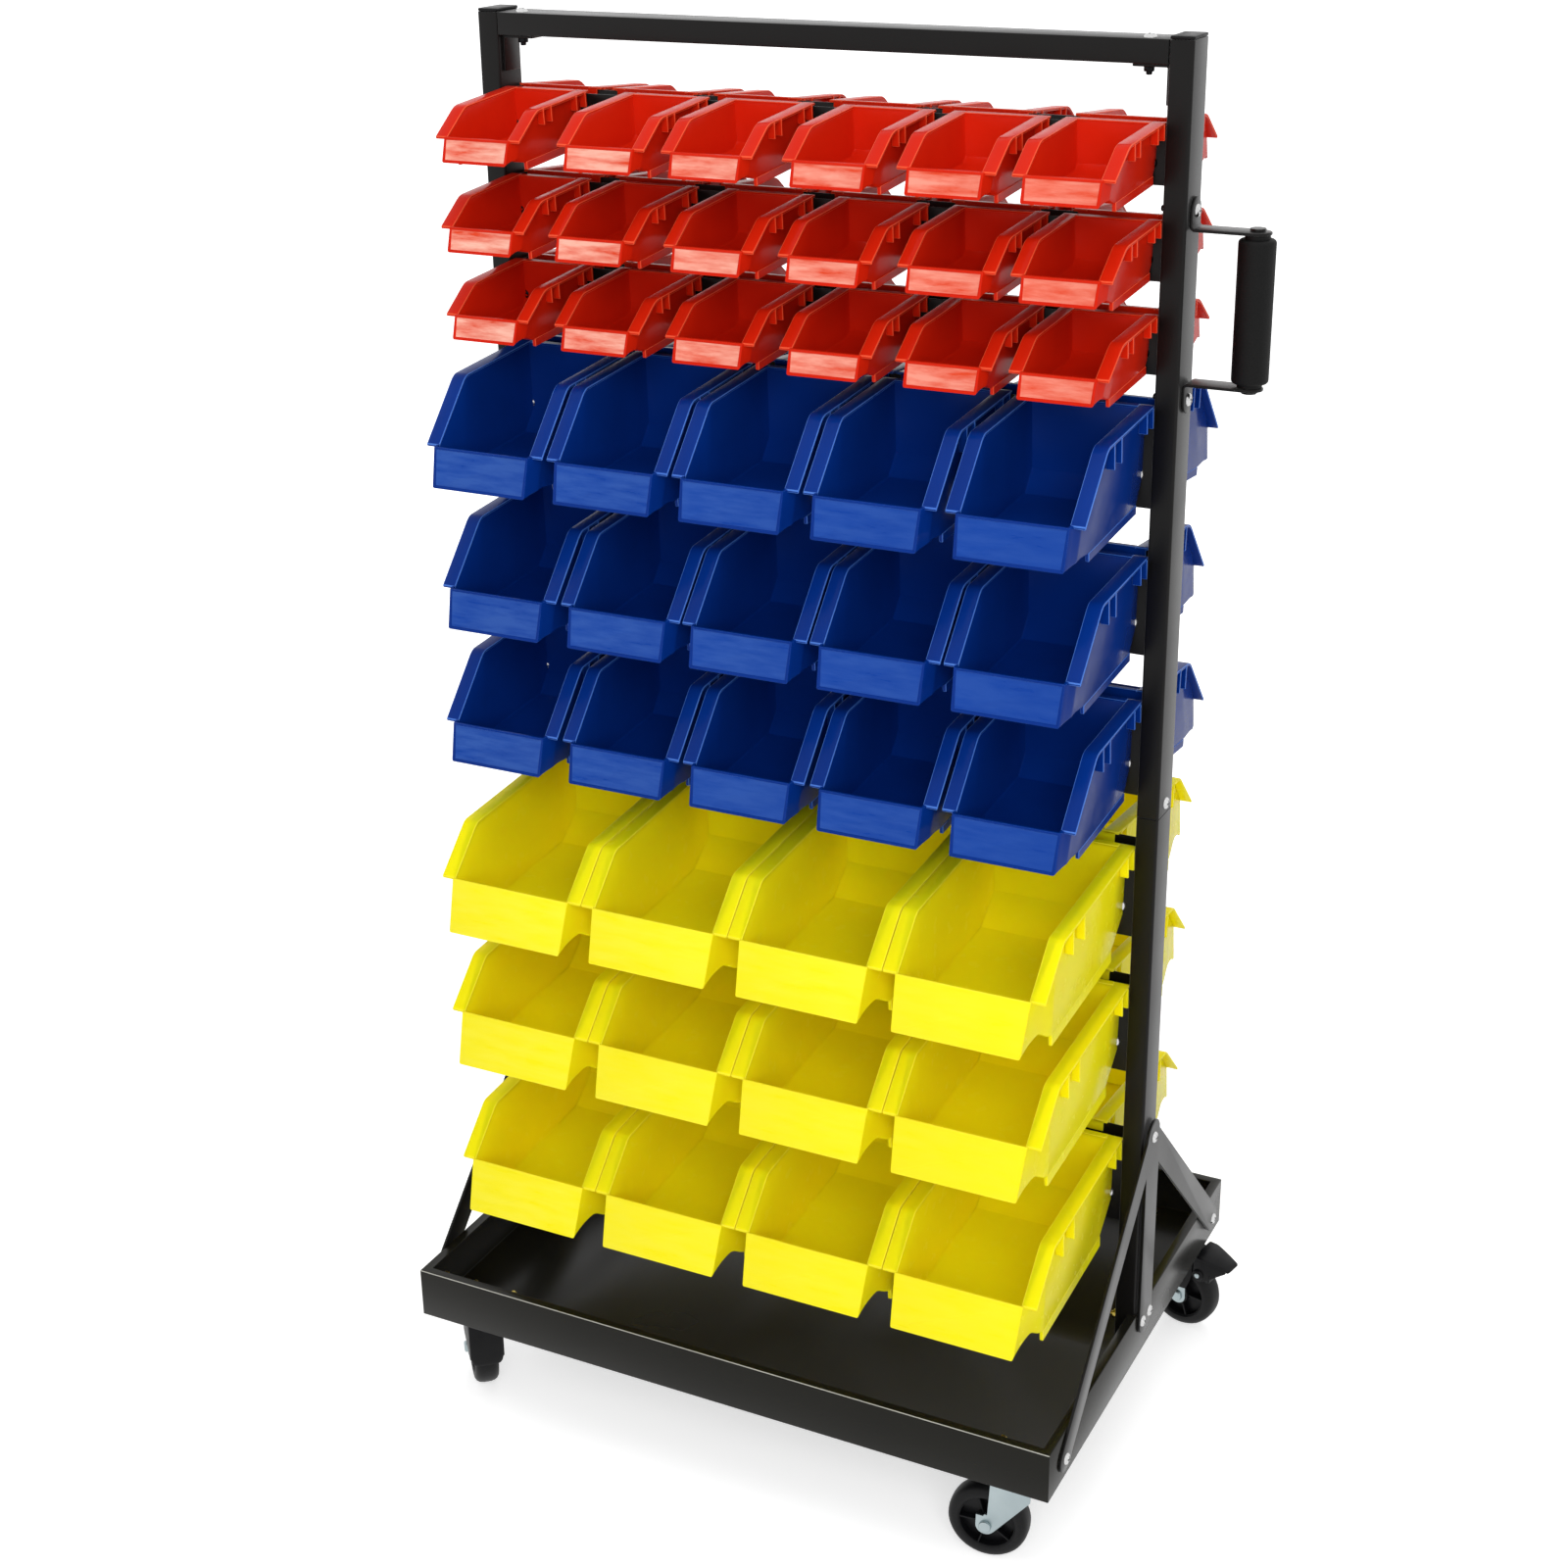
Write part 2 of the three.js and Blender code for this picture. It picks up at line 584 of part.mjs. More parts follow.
function buildFork(brake) {
  const top = crownTop;
  const eye = forkEye;
  const topLeft = -forkLegTop / 2;
  const topRight = forkLegTop / 2;
  const axleX = casterTrail;
  const outline = [
    [topLeft, top], [topLeft, crownBottom - crownSheet], [axleX - eye, wheelRadius],
    [axleX - eye * 0.7, wheelRadius - eye * 0.7], [axleX, wheelRadius - eye],
    [axleX + eye * 0.7, wheelRadius - eye * 0.7], [axleX + eye, wheelRadius],
    [topRight, crownBottom - crownSheet], [topRight, top],
  ];
  const ear = pedalPinRadius * 2.4;
  const earOutline = [
    [0, top], [0, wheelRadius + eye], [axleX + eye, wheelRadius],
    [pedalPivotReach + ear, pedalPivotHeight - ear], [pedalPivotReach + ear, pedalPivotHeight],
    [pedalPivotReach, pedalPivotHeight + ear], [topRight, top],
  ];
  const legs = [];
  for (const y0 of [legInner, -legOuter]) {
    legs.push(plate(outline, y0, y0 + forkSheet));
    if (brake) {
      legs.push(plate(earOutline, y0, y0 + forkSheet));
    }
  }
  const crown = prism([
    [topLeft, -legOuter], [topRight, -legOuter], [topRight, legOuter], [topLeft, legOuter],
  ], crownBottom, crownTop);
  const fork = join(
    crown, ...legs,
    barY(axleX, wheelRadius, axleRadius, -legOuter - gap, legOuter + gap),
    barY(axleX, wheelRadius, axleHeadRadius, legOuter - gap, legOuter + axleHead, screwSides),
    barY(axleX, wheelRadius, axleHeadRadius, -legOuter - axleHead, -legOuter + gap, screwSides),
  );
  const holes = [
    barZ(0, 0, kingPinRadius + gap, crownBottom - crownSheet, crownTop + overrun),
  ];
  if (brake) {
    const reach = legOuter + overrun;
    holes.push(barY(pedalPivotReach, pedalPivotHeight, pedalPinRadius + gap, -reach, reach, screwSides));
  }
  return cut(fork, ...holes);
}

function buildWheel() {
  const half = wheelWidth / 2;
  const bore = axleRadius + gap;
  const recess = wheelRadius - treadDepth;
  const web = half - wheelDish;
  const profile = [
    [bore, -half - wheelSideGap / 2], [hubRadius, -half - wheelSideGap / 2], [hubRadius, -web],
    [recess, -web], [recess, -half], [wheelRadius - wheelShoulder, -half],
    [wheelRadius, -half + wheelShoulder], [wheelRadius, half - wheelShoulder],
    [wheelRadius - wheelShoulder, half], [recess, half], [recess, web],
    [hubRadius, web], [hubRadius, half + wheelSideGap / 2], [bore, half + wheelSideGap / 2],
    [bore, -half - wheelSideGap / 2],
  ].map(([r, y]) => new THREE.Vector2(r, y));
  const turnedBody = new THREE.LatheGeometry(profile, roundSides);
  const ribs = [];
  for (let i = 0; i < wheelRibs; i += 1) {
    const rib = block(
      hubRadius - gap, recess + gap, -half + wheelSideGap, half - wheelSideGap,
      -wheelRibSheet / 2, wheelRibSheet / 2,
    );
    ribs.push(rib.rotateY((i / wheelRibs) * Math.PI * 2));
  }
  return join(turnedBody, ...ribs).translate(casterTrail, 0, wheelRadius);
}

function buildPedal() {
  const top = casterHeight - pedalTopGap;
  const half = legOuter + gap + pedalCheek;
  const root = pedalPivotReach - pedalPinRadius * 2.4;
  const tip = top - pedalDrop;
  const shoeAngle = THREE.MathUtils.degToRad(shoeDegrees);
  const shoeX = casterTrail + (wheelRadius + shoeGap) * Math.cos(shoeAngle);
  const shoeZ = wheelRadius + (wheelRadius + shoeGap) * Math.sin(shoeAngle);
  const pad = plate([
    [root, top - pedalThickness], [pedalLength, tip - pedalThickness], [pedalLength, tip],
    [root, top],
  ], -half, half);
  const cheek = [
    [root, top - gap], [root, pedalPivotHeight], [shoeX, shoeZ], [shoeX + shoeThickness, shoeZ],
    [pedalLength - pedalDrop, tip],
  ];
  // The shoe hangs under the pivot, so that it moves in to the tread as the tip goes down.
  const shoe = plate([
    [shoeX, shoeZ], [shoeX + shoeThickness, shoeZ],
    [shoeX + shoeThickness, pedalPivotHeight + pedalPinRadius], [shoeX, pedalPivotHeight + pedalPinRadius],
  ], -half + gap, half - gap);
  return join(
    pad, shoe,
    plate(cheek, legOuter + gap, half),
    plate(cheek, -half, -legOuter - gap),
    barY(pedalPivotReach, pedalPivotHeight, pedalPinRadius, -half - gap, half + gap, screwSides),
  );
}

const swivelX = trayHalf - casterInset;
const swivelY = trayHalfDepth - casterInsetDepth;
const mountGeometry = buildMount();
const wheelGeometry = buildWheel();
for (const { name, side, end, degrees, brake } of casters) {
  const stand = new THREE.Group();
  stand.position.set(side * swivelX, end * swivelY, 0);
  cart.add(stand);
  piece(`caster_mount_${name}`, mountGeometry, zincSteel, stand);
  const turn = new THREE.Group();
  turn.rotation.z = THREE.MathUtils.degToRad(degrees);
  stand.add(turn);
  piece(`caster_fork_${name}`, buildFork(brake), zincSteel, turn);
  piece(`caster_wheel_${name}`, wheelGeometry, wheelBlack, turn);
  if (brake) {
    piece(`brake_pedal_${name}`, buildPedal(), plasticBlack, turn);
  }
}

// The origin is the middle of the bounding box, on the floor.
cart.updateMatrixWorld(true);
const bounds = new THREE.Box3().setFromObject(cart, true);
const middle = bounds.getCenter(new THREE.Vector3());
cart.position.set(-middle.x, -middle.y, -bounds.min.z);

export default cart;
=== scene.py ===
# %% [markdown]
# # A mobile bin cart
# The CAD part comes in as a fixed frame: posts, tray, channels, casters and rows of bins have
# their places and their joints. This lesson dresses it. Every piece is built in millimetres in
# the cart's own frame (X along the channels, -Y the front, Z up from the floor) and is then
# brought to metres, so that it stands where its CAD node stands.

# %% Load the frame
import math
import bmesh
import bpy
from mathutils import Matrix, Vector


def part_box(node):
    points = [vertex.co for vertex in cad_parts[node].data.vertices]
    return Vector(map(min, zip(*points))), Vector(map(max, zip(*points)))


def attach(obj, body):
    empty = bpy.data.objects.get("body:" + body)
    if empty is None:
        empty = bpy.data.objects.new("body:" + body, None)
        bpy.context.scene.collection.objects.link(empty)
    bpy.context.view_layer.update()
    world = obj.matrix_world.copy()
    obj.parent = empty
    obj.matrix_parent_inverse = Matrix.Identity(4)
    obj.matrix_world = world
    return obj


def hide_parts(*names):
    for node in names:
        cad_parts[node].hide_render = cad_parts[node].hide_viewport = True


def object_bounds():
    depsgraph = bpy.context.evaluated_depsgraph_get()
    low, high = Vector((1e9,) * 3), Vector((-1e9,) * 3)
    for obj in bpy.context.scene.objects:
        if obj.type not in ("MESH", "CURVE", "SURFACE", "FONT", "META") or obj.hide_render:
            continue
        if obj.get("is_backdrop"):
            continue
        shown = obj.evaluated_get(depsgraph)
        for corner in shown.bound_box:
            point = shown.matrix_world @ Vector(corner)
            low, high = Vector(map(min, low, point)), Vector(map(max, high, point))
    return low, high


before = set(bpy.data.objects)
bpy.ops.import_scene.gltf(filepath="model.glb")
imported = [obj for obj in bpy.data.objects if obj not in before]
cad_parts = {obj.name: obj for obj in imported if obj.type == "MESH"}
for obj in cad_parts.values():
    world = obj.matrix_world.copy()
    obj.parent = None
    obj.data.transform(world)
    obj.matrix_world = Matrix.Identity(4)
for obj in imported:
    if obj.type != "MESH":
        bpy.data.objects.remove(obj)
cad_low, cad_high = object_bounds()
from types import SimpleNamespace

MILLIMETRE = 0.001
STEPS_PER_MM = 20
rail_low, rail_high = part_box("rail_red_1")
CART = Matrix.Translation(((rail_low.x + rail_high.x) / 2, 0, 0)) @ Matrix.Scale(MILLIMETRE, 4)


def cad_box(node):
    """A CAD node's low and high corner in the cart's millimetres, to the nearest twentieth."""
    return [[round(v * STEPS_PER_MM) / STEPS_PER_MM for v in CART.inverted() @ corner]
            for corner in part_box(node)]


def show(name, data):
    """Puts an object with this data into the scene."""
    made = bpy.data.objects.new(name, data)
    bpy.context.collection.objects.link(made)
    return made


# %% Sizes that the frame gives
SIDES = (("left", -1), ("right", 1))
(POST_IN, _, _), (POST_OUT, POST_HALF, FRAME_TOP) = cad_box("post_right_upper")
SEAM = cad_box("post_right_lower")[1][2]
CLEAR_WIDTH = 2 * POST_IN
RAIL_HALF = cad_box("rail_red_1")[1][1]
SHEET = 1.5
tray_low, (TRAY_SIDE, TRAY_HALF, TRAY_TOP) = cad_box("tray")
TRAY_FLOOR = tray_low[2] + SHEET
GUSSET_IN = cad_box("gusset_right")[0][0]
ARM_SHEET = 2.5
(HANDLE_FACE, _, upper_arm_low), _ = cad_box("handle_arm_upper")
ARM_UPPER = upper_arm_low + ARM_SHEET / 2
ARM_LOWER = cad_box("handle_arm_lower")[1][2] - ARM_SHEET / 2
grip_low, grip_high = cad_box("handle_grip")
GRIP_X = (grip_low[0] + grip_high[0]) / 2
WHEEL_RADIUS = cad_box("caster_wheel_front_left")[1][2] / 2
print("posts", POST_IN, "to", POST_OUT, "mm, top", FRAME_TOP, "mm, wheel radius", WHEEL_RADIUS)

# %% [markdown]
# ## Camera
# A camera is a place, three directions and a focal length. These were solved from about 180
# points of the photograph, so that the lens sits where the photographer's lens was. The small
# shift keeps the photograph's framing.

# %% Stand the camera in place
CAMERA_PLACE = Vector((919.05, -1880.05, 1517.85))
HEADING, DIP, ROLL = (math.radians(degrees) for degrees in (26.473, 22.22, -0.659))
FOCAL_PIXELS, FRAME_PIXELS, SENSOR = 2502.71, 1600, 36
SHIFT_X, SHIFT_Y, FARTHEST = -0.01727, -0.02224, 100
forward = Vector((-math.sin(HEADING) * math.cos(DIP), math.cos(HEADING) * math.cos(DIP),
                  -math.sin(DIP)))
level = Vector((math.cos(HEADING), math.sin(HEADING), 0))
upward = level.cross(forward)
right = level * math.cos(ROLL) + upward * math.sin(ROLL)
up = upward * math.cos(ROLL) - level * math.sin(ROLL)
camera_data = bpy.data.cameras.new("camera")
camera_data.lens = FOCAL_PIXELS / FRAME_PIXELS * SENSOR
camera_data.sensor_width = SENSOR
camera_data.shift_x, camera_data.shift_y = SHIFT_X, SHIFT_Y
camera_data.clip_end = FARTHEST
camera = show("camera", camera_data)
turn = Matrix((right, up, -forward)).transposed().to_4x4()
camera.matrix_world = Matrix.Translation(CART @ CAMERA_PLACE) @ turn
bpy.context.scene.camera = camera
print("lens", round(camera_data.lens, 2), "mm")

# %% [markdown]
# ## Colours and nodes
# A photograph's colours are written as sRGB hex values, but shaders reckon in linear light. One
# function turns one into the other. A second function adds a node with its settings and links.
# The rest are short chains of nodes that several materials share: a value that roams, a relief,
# and the shader at the end.

# %% Helpers for materials
NOISE_LOW, NOISE_HIGH = 0.3, 0.7  # most of a noise texture lies between these


def linear(hex_colour):
    """The linear colour of an sRGB hex value."""
    shares = [int(hex_colour[i:i + 2], 16) / 255 for i in (1, 3, 5)]
    return [s / 12.92 if s <= 0.04045 else ((s + 0.055) / 1.055) ** 2.4 for s in shares] + [1]


def add(tree, kind, inputs=None, **settings):
    """Adds a node. inputs maps a socket to a value or to another node's output."""
    made = tree.nodes.new(kind)
    for key, value in settings.items():
        setattr(made, key, value)
    for key, value in (inputs or {}).items():
        if isinstance(value, bpy.types.NodeSocket):
            tree.links.new(value, made.inputs[key])
        else:
            made.inputs[key].default_value = value
    return made


def start(name):
    """A material, its empty node tree, and the place of a point on the object."""
    finish = bpy.data.materials.new(name)
    finish.use_nodes = True
    finish.node_tree.nodes.clear()
    place = add(finish.node_tree, "ShaderNodeTexCoord").outputs["Object"]
    return finish, finish.node_tree, place


def per(millimetres):
    """The texture scale that makes one feature this many millimetres wide."""
    return 1 / (millimetres * MILLIMETRE)


def roaming(tree, place, width, detail, low, high):
    """Clouds this many millimetres wide: their own value, and one that roams from low to high."""
    cloud = add(tree, "ShaderNodeTexNoise", {
        "Vector": place, "Scale": per(width), "Detail": detail}).outputs["Fac"]
    ranged = add(tree, "ShaderNodeMapRange", {
        "Value": cloud, "From Min": NOISE_LOW, "From Max": NOISE_HIGH, "To Min": low,
        "To Max": high})
    return cloud, ranged.outputs[0]


def relief(tree, place, width, detail, strength, distance, **under):
    """A bump with features this many millimetres wide. Normal= lays it over another one."""
    cloud = add(tree, "ShaderNodeTexNoise", {
        "Vector": place, "Scale": per(width), "Detail": detail})
    return add(tree, "ShaderNodeBump", {
        "Height": cloud.outputs["Fac"], "Strength": strength, "Distance": distance,
        **under}).outputs[0]


def surfaced(finish, share, colour, other, **inputs):
    """Ends a material: a share mixes two tones, and a Principled shader shows them."""
    tree = finish.node_tree
    tone = add(tree, "ShaderNodeMix", {"Factor": share, 6: linear(colour), 7: linear(other)},
               data_type="RGBA")
    inputs = {key.replace("_", " "): value for key, value in inputs.items()}
    shader = add(tree, "ShaderNodeBsdfPrincipled", {"Base Color": tone.outputs[2], **inputs})
    add(tree, "ShaderNodeOutputMaterial", {"Surface": shader.outputs[0]})
    return finish


print("red in linear light:", [round(c, 3) for c in linear("#D4240C")])

# %% [markdown]
# ## Light and floor
# The studio is a white floor and a white surround. Light Path makes both plain white to the
# camera, to gloss and to glass, while the lamps stay at a level where a colour renders as it is
# written. The floor keeps a soft shadow: its own shading is added to a glow, weaker under the
# cart and full a few metres away, so that the far floor is as white as the surround.

# %% The surround
WHITE, SURROUND_LEVEL = (1, 1, 1, 1), 0.57


def is_ray(tree, *kinds):
    """1 where the ray that sees the surface is of one of these kinds, else 0."""
    path = add(tree, "ShaderNodeLightPath").outputs
    share = path[f"Is {kinds[0]} Ray"]
    for kind in kinds[1:]:
        either = add(tree, "ShaderNodeMath", {0: share, 1: path[f"Is {kind} Ray"]},
                     operation="MAXIMUM")
        share = either.outputs[0]
    return share


world = bpy.data.worlds.new("studio")
bpy.context.scene.world = world
world.use_nodes = True
world.node_tree.nodes.clear()
tree = world.node_tree
strength = add(tree, "ShaderNodeMapRange", {
    "Value": is_ray(tree, "Camera", "Glossy", "Transmission"), "To Min": SURROUND_LEVEL})
back = add(tree, "ShaderNodeBackground", {"Color": WHITE, "Strength": strength.outputs[0]})
add(tree, "ShaderNodeOutputWorld", {"Surface": back.outputs[0]})
bpy.context.scene.view_settings.view_transform = "Standard"
print("surround lights at", SURROUND_LEVEL)

# %% The floor
FLOOR_HALF, GLOW_STARTS, GLOW_ENDS = 30, 0.8, 3.0
NEAR_GLOW, FAR_GLOW = 0.55, 0.95
floor_finish, tree, place = start("matt white floor paint")
paint = add(tree, "ShaderNodeBsdfDiffuse", {"Color": linear("#E6E6E6")})
away = add(tree, "ShaderNodeVectorMath", {0: place}, operation="LENGTH")
brighter = add(tree, "ShaderNodeMapRange", {
    "Value": away.outputs["Value"], "From Min": GLOW_STARTS, "From Max": GLOW_ENDS,
    "To Min": NEAR_GLOW, "To Max": FAR_GLOW}, interpolation_type="SMOOTHSTEP")
glow = add(tree, "ShaderNodeEmission", {"Color": WHITE, "Strength": brighter.outputs[0]})
plain = add(tree, "ShaderNodeEmission", {"Color": WHITE, "Strength": 1.0})
lit = add(tree, "ShaderNodeAddShader", {0: paint.outputs[0], 1: glow.outputs[0]})
to_camera = add(tree, "ShaderNodeMixShader", {
    0: is_ray(tree, "Camera"), 1: paint.outputs[0], 2: lit.outputs[0]})
floor_shader = add(tree, "ShaderNodeMixShader", {
    0: is_ray(tree, "Glossy", "Transmission"), 1: to_camera.outputs[0], 2: plain.outputs[0]})
add(tree, "ShaderNodeOutputMaterial", {"Surface": floor_shader.outputs[0]})
corners = [(x * FLOOR_HALF, y * FLOOR_HALF, 0) for x, y in ((-1, -1), (1, -1), (1, 1), (-1, 1))]
floor_mesh = bpy.data.meshes.new("floor")
floor_mesh.from_pydata(corners, [], [range(4)])
floor_mesh.materials.append(floor_finish)
floor = show("floor", floor_mesh)
floor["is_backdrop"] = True
print("floor is", 2 * FLOOR_HALF, "m wide")

# %% The lamps: place in metres, width, watts
AIM = Vector((0, 0, 0.7))
LAMPS = {
    "key": ((1.5, -2.9, 2.2), 2.0, 61),
    "top": ((0.2, -0.4, 4.2), 2.6, 34),
    "back": ((-1.3, 2.9, 2.2), 2.0, 30),
}
for name, (place, width, watts) in LAMPS.items():
    lamp_data = bpy.data.lights.new(name, "AREA")
    lamp_data.size = width
    lamp_data.energy = watts
    lamp = show(name, lamp_data)
    lamp.location = place
    lamp.rotation_euler = (AIM - Vector(place)).to_track_quat("-Z", "Y").to_euler()
    lamp.visible_glossy = False
    print(name, "lamp", watts, "W")

# %% [markdown]
# ## Moulded plastic
# The bins are injection-moulded polypropylene: coloured through, glossy, with a faint waviness
# where the plastic shrank and fine grain from the tool. Two tones of noise make the colour drift
# a little. The edges have a paler twin of the material: a painted highlight where they
# catch light, and partly the wear of rubbing.
# Light also soaks through thin plastic, most through the yellow: subsurface scattering lets the
# light on a wall's outside warm its inside.

# %% Plastic finishes
PLASTIC_IOR = 1.49


def moulded(name, colour, deep, roughness=0.2, gloss_level=0.2, soaked=0.0):
    """A glossy moulded plastic. It gives the eye a clear, even colour with soft reflections."""
    finish, tree, place = start(name)
    _, drift = roaming(tree, place, 60, 3, 0, 0.35)
    _, gloss = roaming(tree, place, 14, 4, roughness * 0.8, roughness * 1.35)
    sunk = relief(tree, place, 22, 2, 0.05, 0.002)
    grain = relief(tree, place, 0.9, 1, 0.03, 0.0003, Normal=sunk)
    return surfaced(finish, drift, colour, deep, Roughness=gloss, Normal=grain, IOR=PLASTIC_IOR,
                    Specular_IOR_Level=gloss_level, Subsurface_Weight=soaked,
                    Subsurface_Radius=(1.0, 0.85, 0.1), Subsurface_Scale=0.004)


# acetal, moulded: the dense, slightly dull black of caps, pedals and brake hoods
black_acetal = moulded("black acetal", "#0D0D0F", "#070708", 0.38)
print("black plastic made:", black_acetal.name)

# %% [markdown]
# Cards slid in and out polish the label field of a front panel pale. Each colour of bin gets
# three finishes: polypropylene as moulded, a saturated colour that stays clear under gloss; the
# same plastic made pale for the edges, a painted highlight that draws the thin light lines of
# the outlines, partly also the wear of rubbing; and wiped, a cloudy field that tells where a
# card would go.

# %% Label fields, and the finishes of the bins
WIPE_LONG, WIPE_TALL = per(45), per(7)
MOST_WORN_X, LEAST_WORN_X = -0.3, 0.3


def scuffed(name, colour, pale, amount):
    """Plastic polished pale by cards. It gives the eye horizontal wipes over the colour."""
    finish, tree, place = start(name)
    stretched = add(tree, "ShaderNodeMapping", {
        "Vector": place, "Scale": (WIPE_LONG, WIPE_LONG, WIPE_TALL)})
    wipe = add(tree, "ShaderNodeTexNoise", {
        "Vector": stretched.outputs[0], "Scale": 1, "Detail": 4, "Roughness": 0.6}).outputs["Fac"]
    # bins at the left end are used most: their fields are wiped palest
    along = add(tree, "ShaderNodeSeparateXYZ", {"Vector": place})
    worn = add(tree, "ShaderNodeMapRange", {
        "Value": along.outputs["X"], "From Min": LEAST_WORN_X, "From Max": MOST_WORN_X,
        "To Min": amount * 0.35, "To Max": amount})
    share = add(tree, "ShaderNodeMapRange", {
        "Value": wipe, "From Min": NOISE_LOW, "From Max": 0.62, "To Max": worn.outputs[0]})
    haze = add(tree, "ShaderNodeMapRange", {
        "Value": wipe, "From Min": NOISE_LOW, "From Max": NOISE_HIGH, "To Min": 0.25,
        "To Max": 0.45})
    return surfaced(finish, share.outputs[0], colour, pale, Roughness=haze.outputs[0],
                    IOR=PLASTIC_IOR, Specular_IOR_Level=0.15)


FINISHES = {}
# the second finish of each colour is paler: a painted highlight for the edges, partly wear
for colour, plain, edge_highlight_and_wear, wiped in (
        ("red", ("#D4240C", "#BE1605", 0.2, 0.09), ("#EC5836", "#DA4020", 0.3, 0.12),
         ("#E04422", "#FFC4B0", 0.95)),
        ("blue", ("#053186", "#04246E", 0.2, 0.1), ("#4C7CD2", "#2E5ABC", 0.3),
         ("#0A3E9A", "#5A84CA", 0.26)),
        ("yellow", ("#FFEB12", "#FFE50C", 0.22, 0.05, 0.8), ("#FFF038", "#FCE820", 0.3, 0.06),
         ("#FCEE12", "#FFF660", 0.3))):
    plastic = f"{colour} polypropylene"
    FINISHES[colour] = [moulded(plastic, *plain), moulded(f"rubbed {plastic}", *edge_highlight_and_wear),
                        scuffed(f"wiped {plastic}", *wiped)]
print("finishes of the bins:", {key: len(value) for key, value in FINISHES.items()})

# %% [markdown]
# ## Powder coat
# Posts, channels, tray and gussets are sheet steel with a baked powder coat. The powder melts
# into a skin with a slight orange peel, which breaks reflections up. Its gloss is low from the
# front and rises at a glancing angle, so the side of a post looks grey while its front is black.
# A little sheen on top stands for the fine powder grain, which is palest at a glancing angle.

# %% Coated steel finishes
def powder_coat(name, colour, light, roughness, gloss_level, dust):
    """Baked powder on steel. It gives the eye a deep black with a soft, grainy sheen."""
    finish, tree, place = start(name)
    cloud, sheen = roaming(tree, place, 90, 3, roughness * 0.9, roughness * 1.15)
    # orange peel is about 0.5 mm wide; drawn at 1.4 mm so that it shows
    peel = relief(tree, place, 1.4, 2, 0.12, 0.0004)
    return surfaced(finish, cloud, colour, light, Roughness=sheen, Normal=peel,
                    Specular_IOR_Level=gloss_level, Sheen_Weight=dust, Sheen_Roughness=0.35)


black_powder = powder_coat("black powder coat", "#0A0909", "#100F0E", 0.32, 0.22, 0.2)
tray_powder = powder_coat("charcoal powder coat", "#13120D", "#1A1913", 0.24, 0.2, 0.03)
# the same coat made pale on a fold: the thin light line along the tray's rim, a painted highlight,
# partly the coat rubbed thin
powder_edge_highlight_and_wear = powder_coat("rubbed powder coat", "#A8A79F", "#C2C1B9", 0.35, 0.4, 0.05)
print("powder coats made")

# %% [markdown]
# ## Plated steel, foam and tread
# Caster forks are zinc-plated and passivated: bright, bluish, a little cloudy. Most screws are
# nickel-plated and sharper, most nuts have the yellow passivation, and a few of both are black.
# The grip is closed-cell foam, and the wheel is a hard polymer tread on a ribbed core, so both
# are dull blacks of their own.

# %% Metal, foam and tread finishes
def plated(name, colour, dull, roughness, spangle):
    """Plated steel. It gives the eye a bright metal whose tone drifts from place to place."""
    finish, tree, place = start(name)
    cloud, sheen = roaming(tree, place, spangle, 5, roughness * 0.75, roughness * 1.3)
    return surfaced(finish, cloud, colour, dull, Metallic=1.0, Roughness=sheen)


def rubbery(name, colour, light, roughness, cell, depth):
    """Foam or tread. It gives the eye a dull black with small soft pits."""
    finish, tree, place = start(name)
    pits = add(tree, "ShaderNodeTexVoronoi", {"Vector": place, "Scale": per(cell)})
    skin = add(tree, "ShaderNodeBump", {
        "Height": pits.outputs["Distance"], "Strength": depth, "Distance": 0.0004})
    return surfaced(finish, pits.outputs["Distance"], colour, light, Roughness=roughness,
                    Normal=skin.outputs[0], Specular_IOR_Level=0.22)


zinc = plated("passivated zinc plate", "#C6D2D4", "#A2B0B4", 0.34, 40)
nickel = plated("nickel plate", "#F4F4F2", "#C4C4C6", 0.24, 2)
black_oxide = plated("black oxide on steel", "#2A2A2C", "#161617", 0.35, 3)
yellow_zinc = plated("yellow passivated zinc", "#D9C76A", "#B79A3C", 0.28, 2)
grip_foam = rubbery("closed-cell foam", "#080808", "#101010", 0.6, 1.3, 0.25)
tread = rubbery("polyurethane tread", "#0B0B0C", "#131314", 0.5, 2.5, 0.06)
core = moulded("black polyamide core", "#0E0E10", "#09090A", 0.35)
print("metals, foam and tread made")

# %% [markdown]
# ## Mesh helpers
# A shape is a bmesh in millimetres. `loft` joins rings of points into a skin, `board` gives a
# flat outline its thickness, `lathe` spins a profile. Sharp edges are then rounded by a Bevel
# modifier whose result is kept as a plain mesh, because a real edge is never a knife.

# %% Loft, board and lathe
AXES = {"X": (1, 2, 0), "Y": (0, 2, 1), "Z": (0, 1, 2)}


def loft(rings, caps=True):
    """Joins rings of equal length with quads and closes the two ends."""
    shape = bmesh.new()
    rows = [[shape.verts.new(point) for point in ring] for ring in rings]
    for near, far in zip(rows, rows[1:]):
        for i in range(len(near)):
            j = (i + 1) % len(near)
            shape.faces.new((near[i], near[j], far[j], far[i]))
    if caps:
        shape.faces.new(list(reversed(rows[0])))
        shape.faces.new(rows[-1])
    return shape


def looped(rings):
    """Rings joined in a loop, the last one to the first."""
    shape = loft(rings + [rings[0]], caps=False)
    bmesh.ops.remove_doubles(shape, verts=shape.verts, dist=0.001)
    return shape


def spot(axis, first, second, along):
    """A point from two measures across an axis and one along it."""
    point = [0, 0, 0]
    for index, value in zip(AXES[axis], (first, second, along)):
        point[index] = value
    return point


def board(outline, low, high, axis):
    """An outline in the plane across an axis, carried along that axis from low to high."""
    return loft([[spot(axis, a, b, at) for a, b in outline] for at in (low, high)])


def box(x0, x1, y0, y1, z0, z1):
    return board([(x0, y0), (x1, y0), (x1, y1), (x0, y1)], z0, z1, "Z")


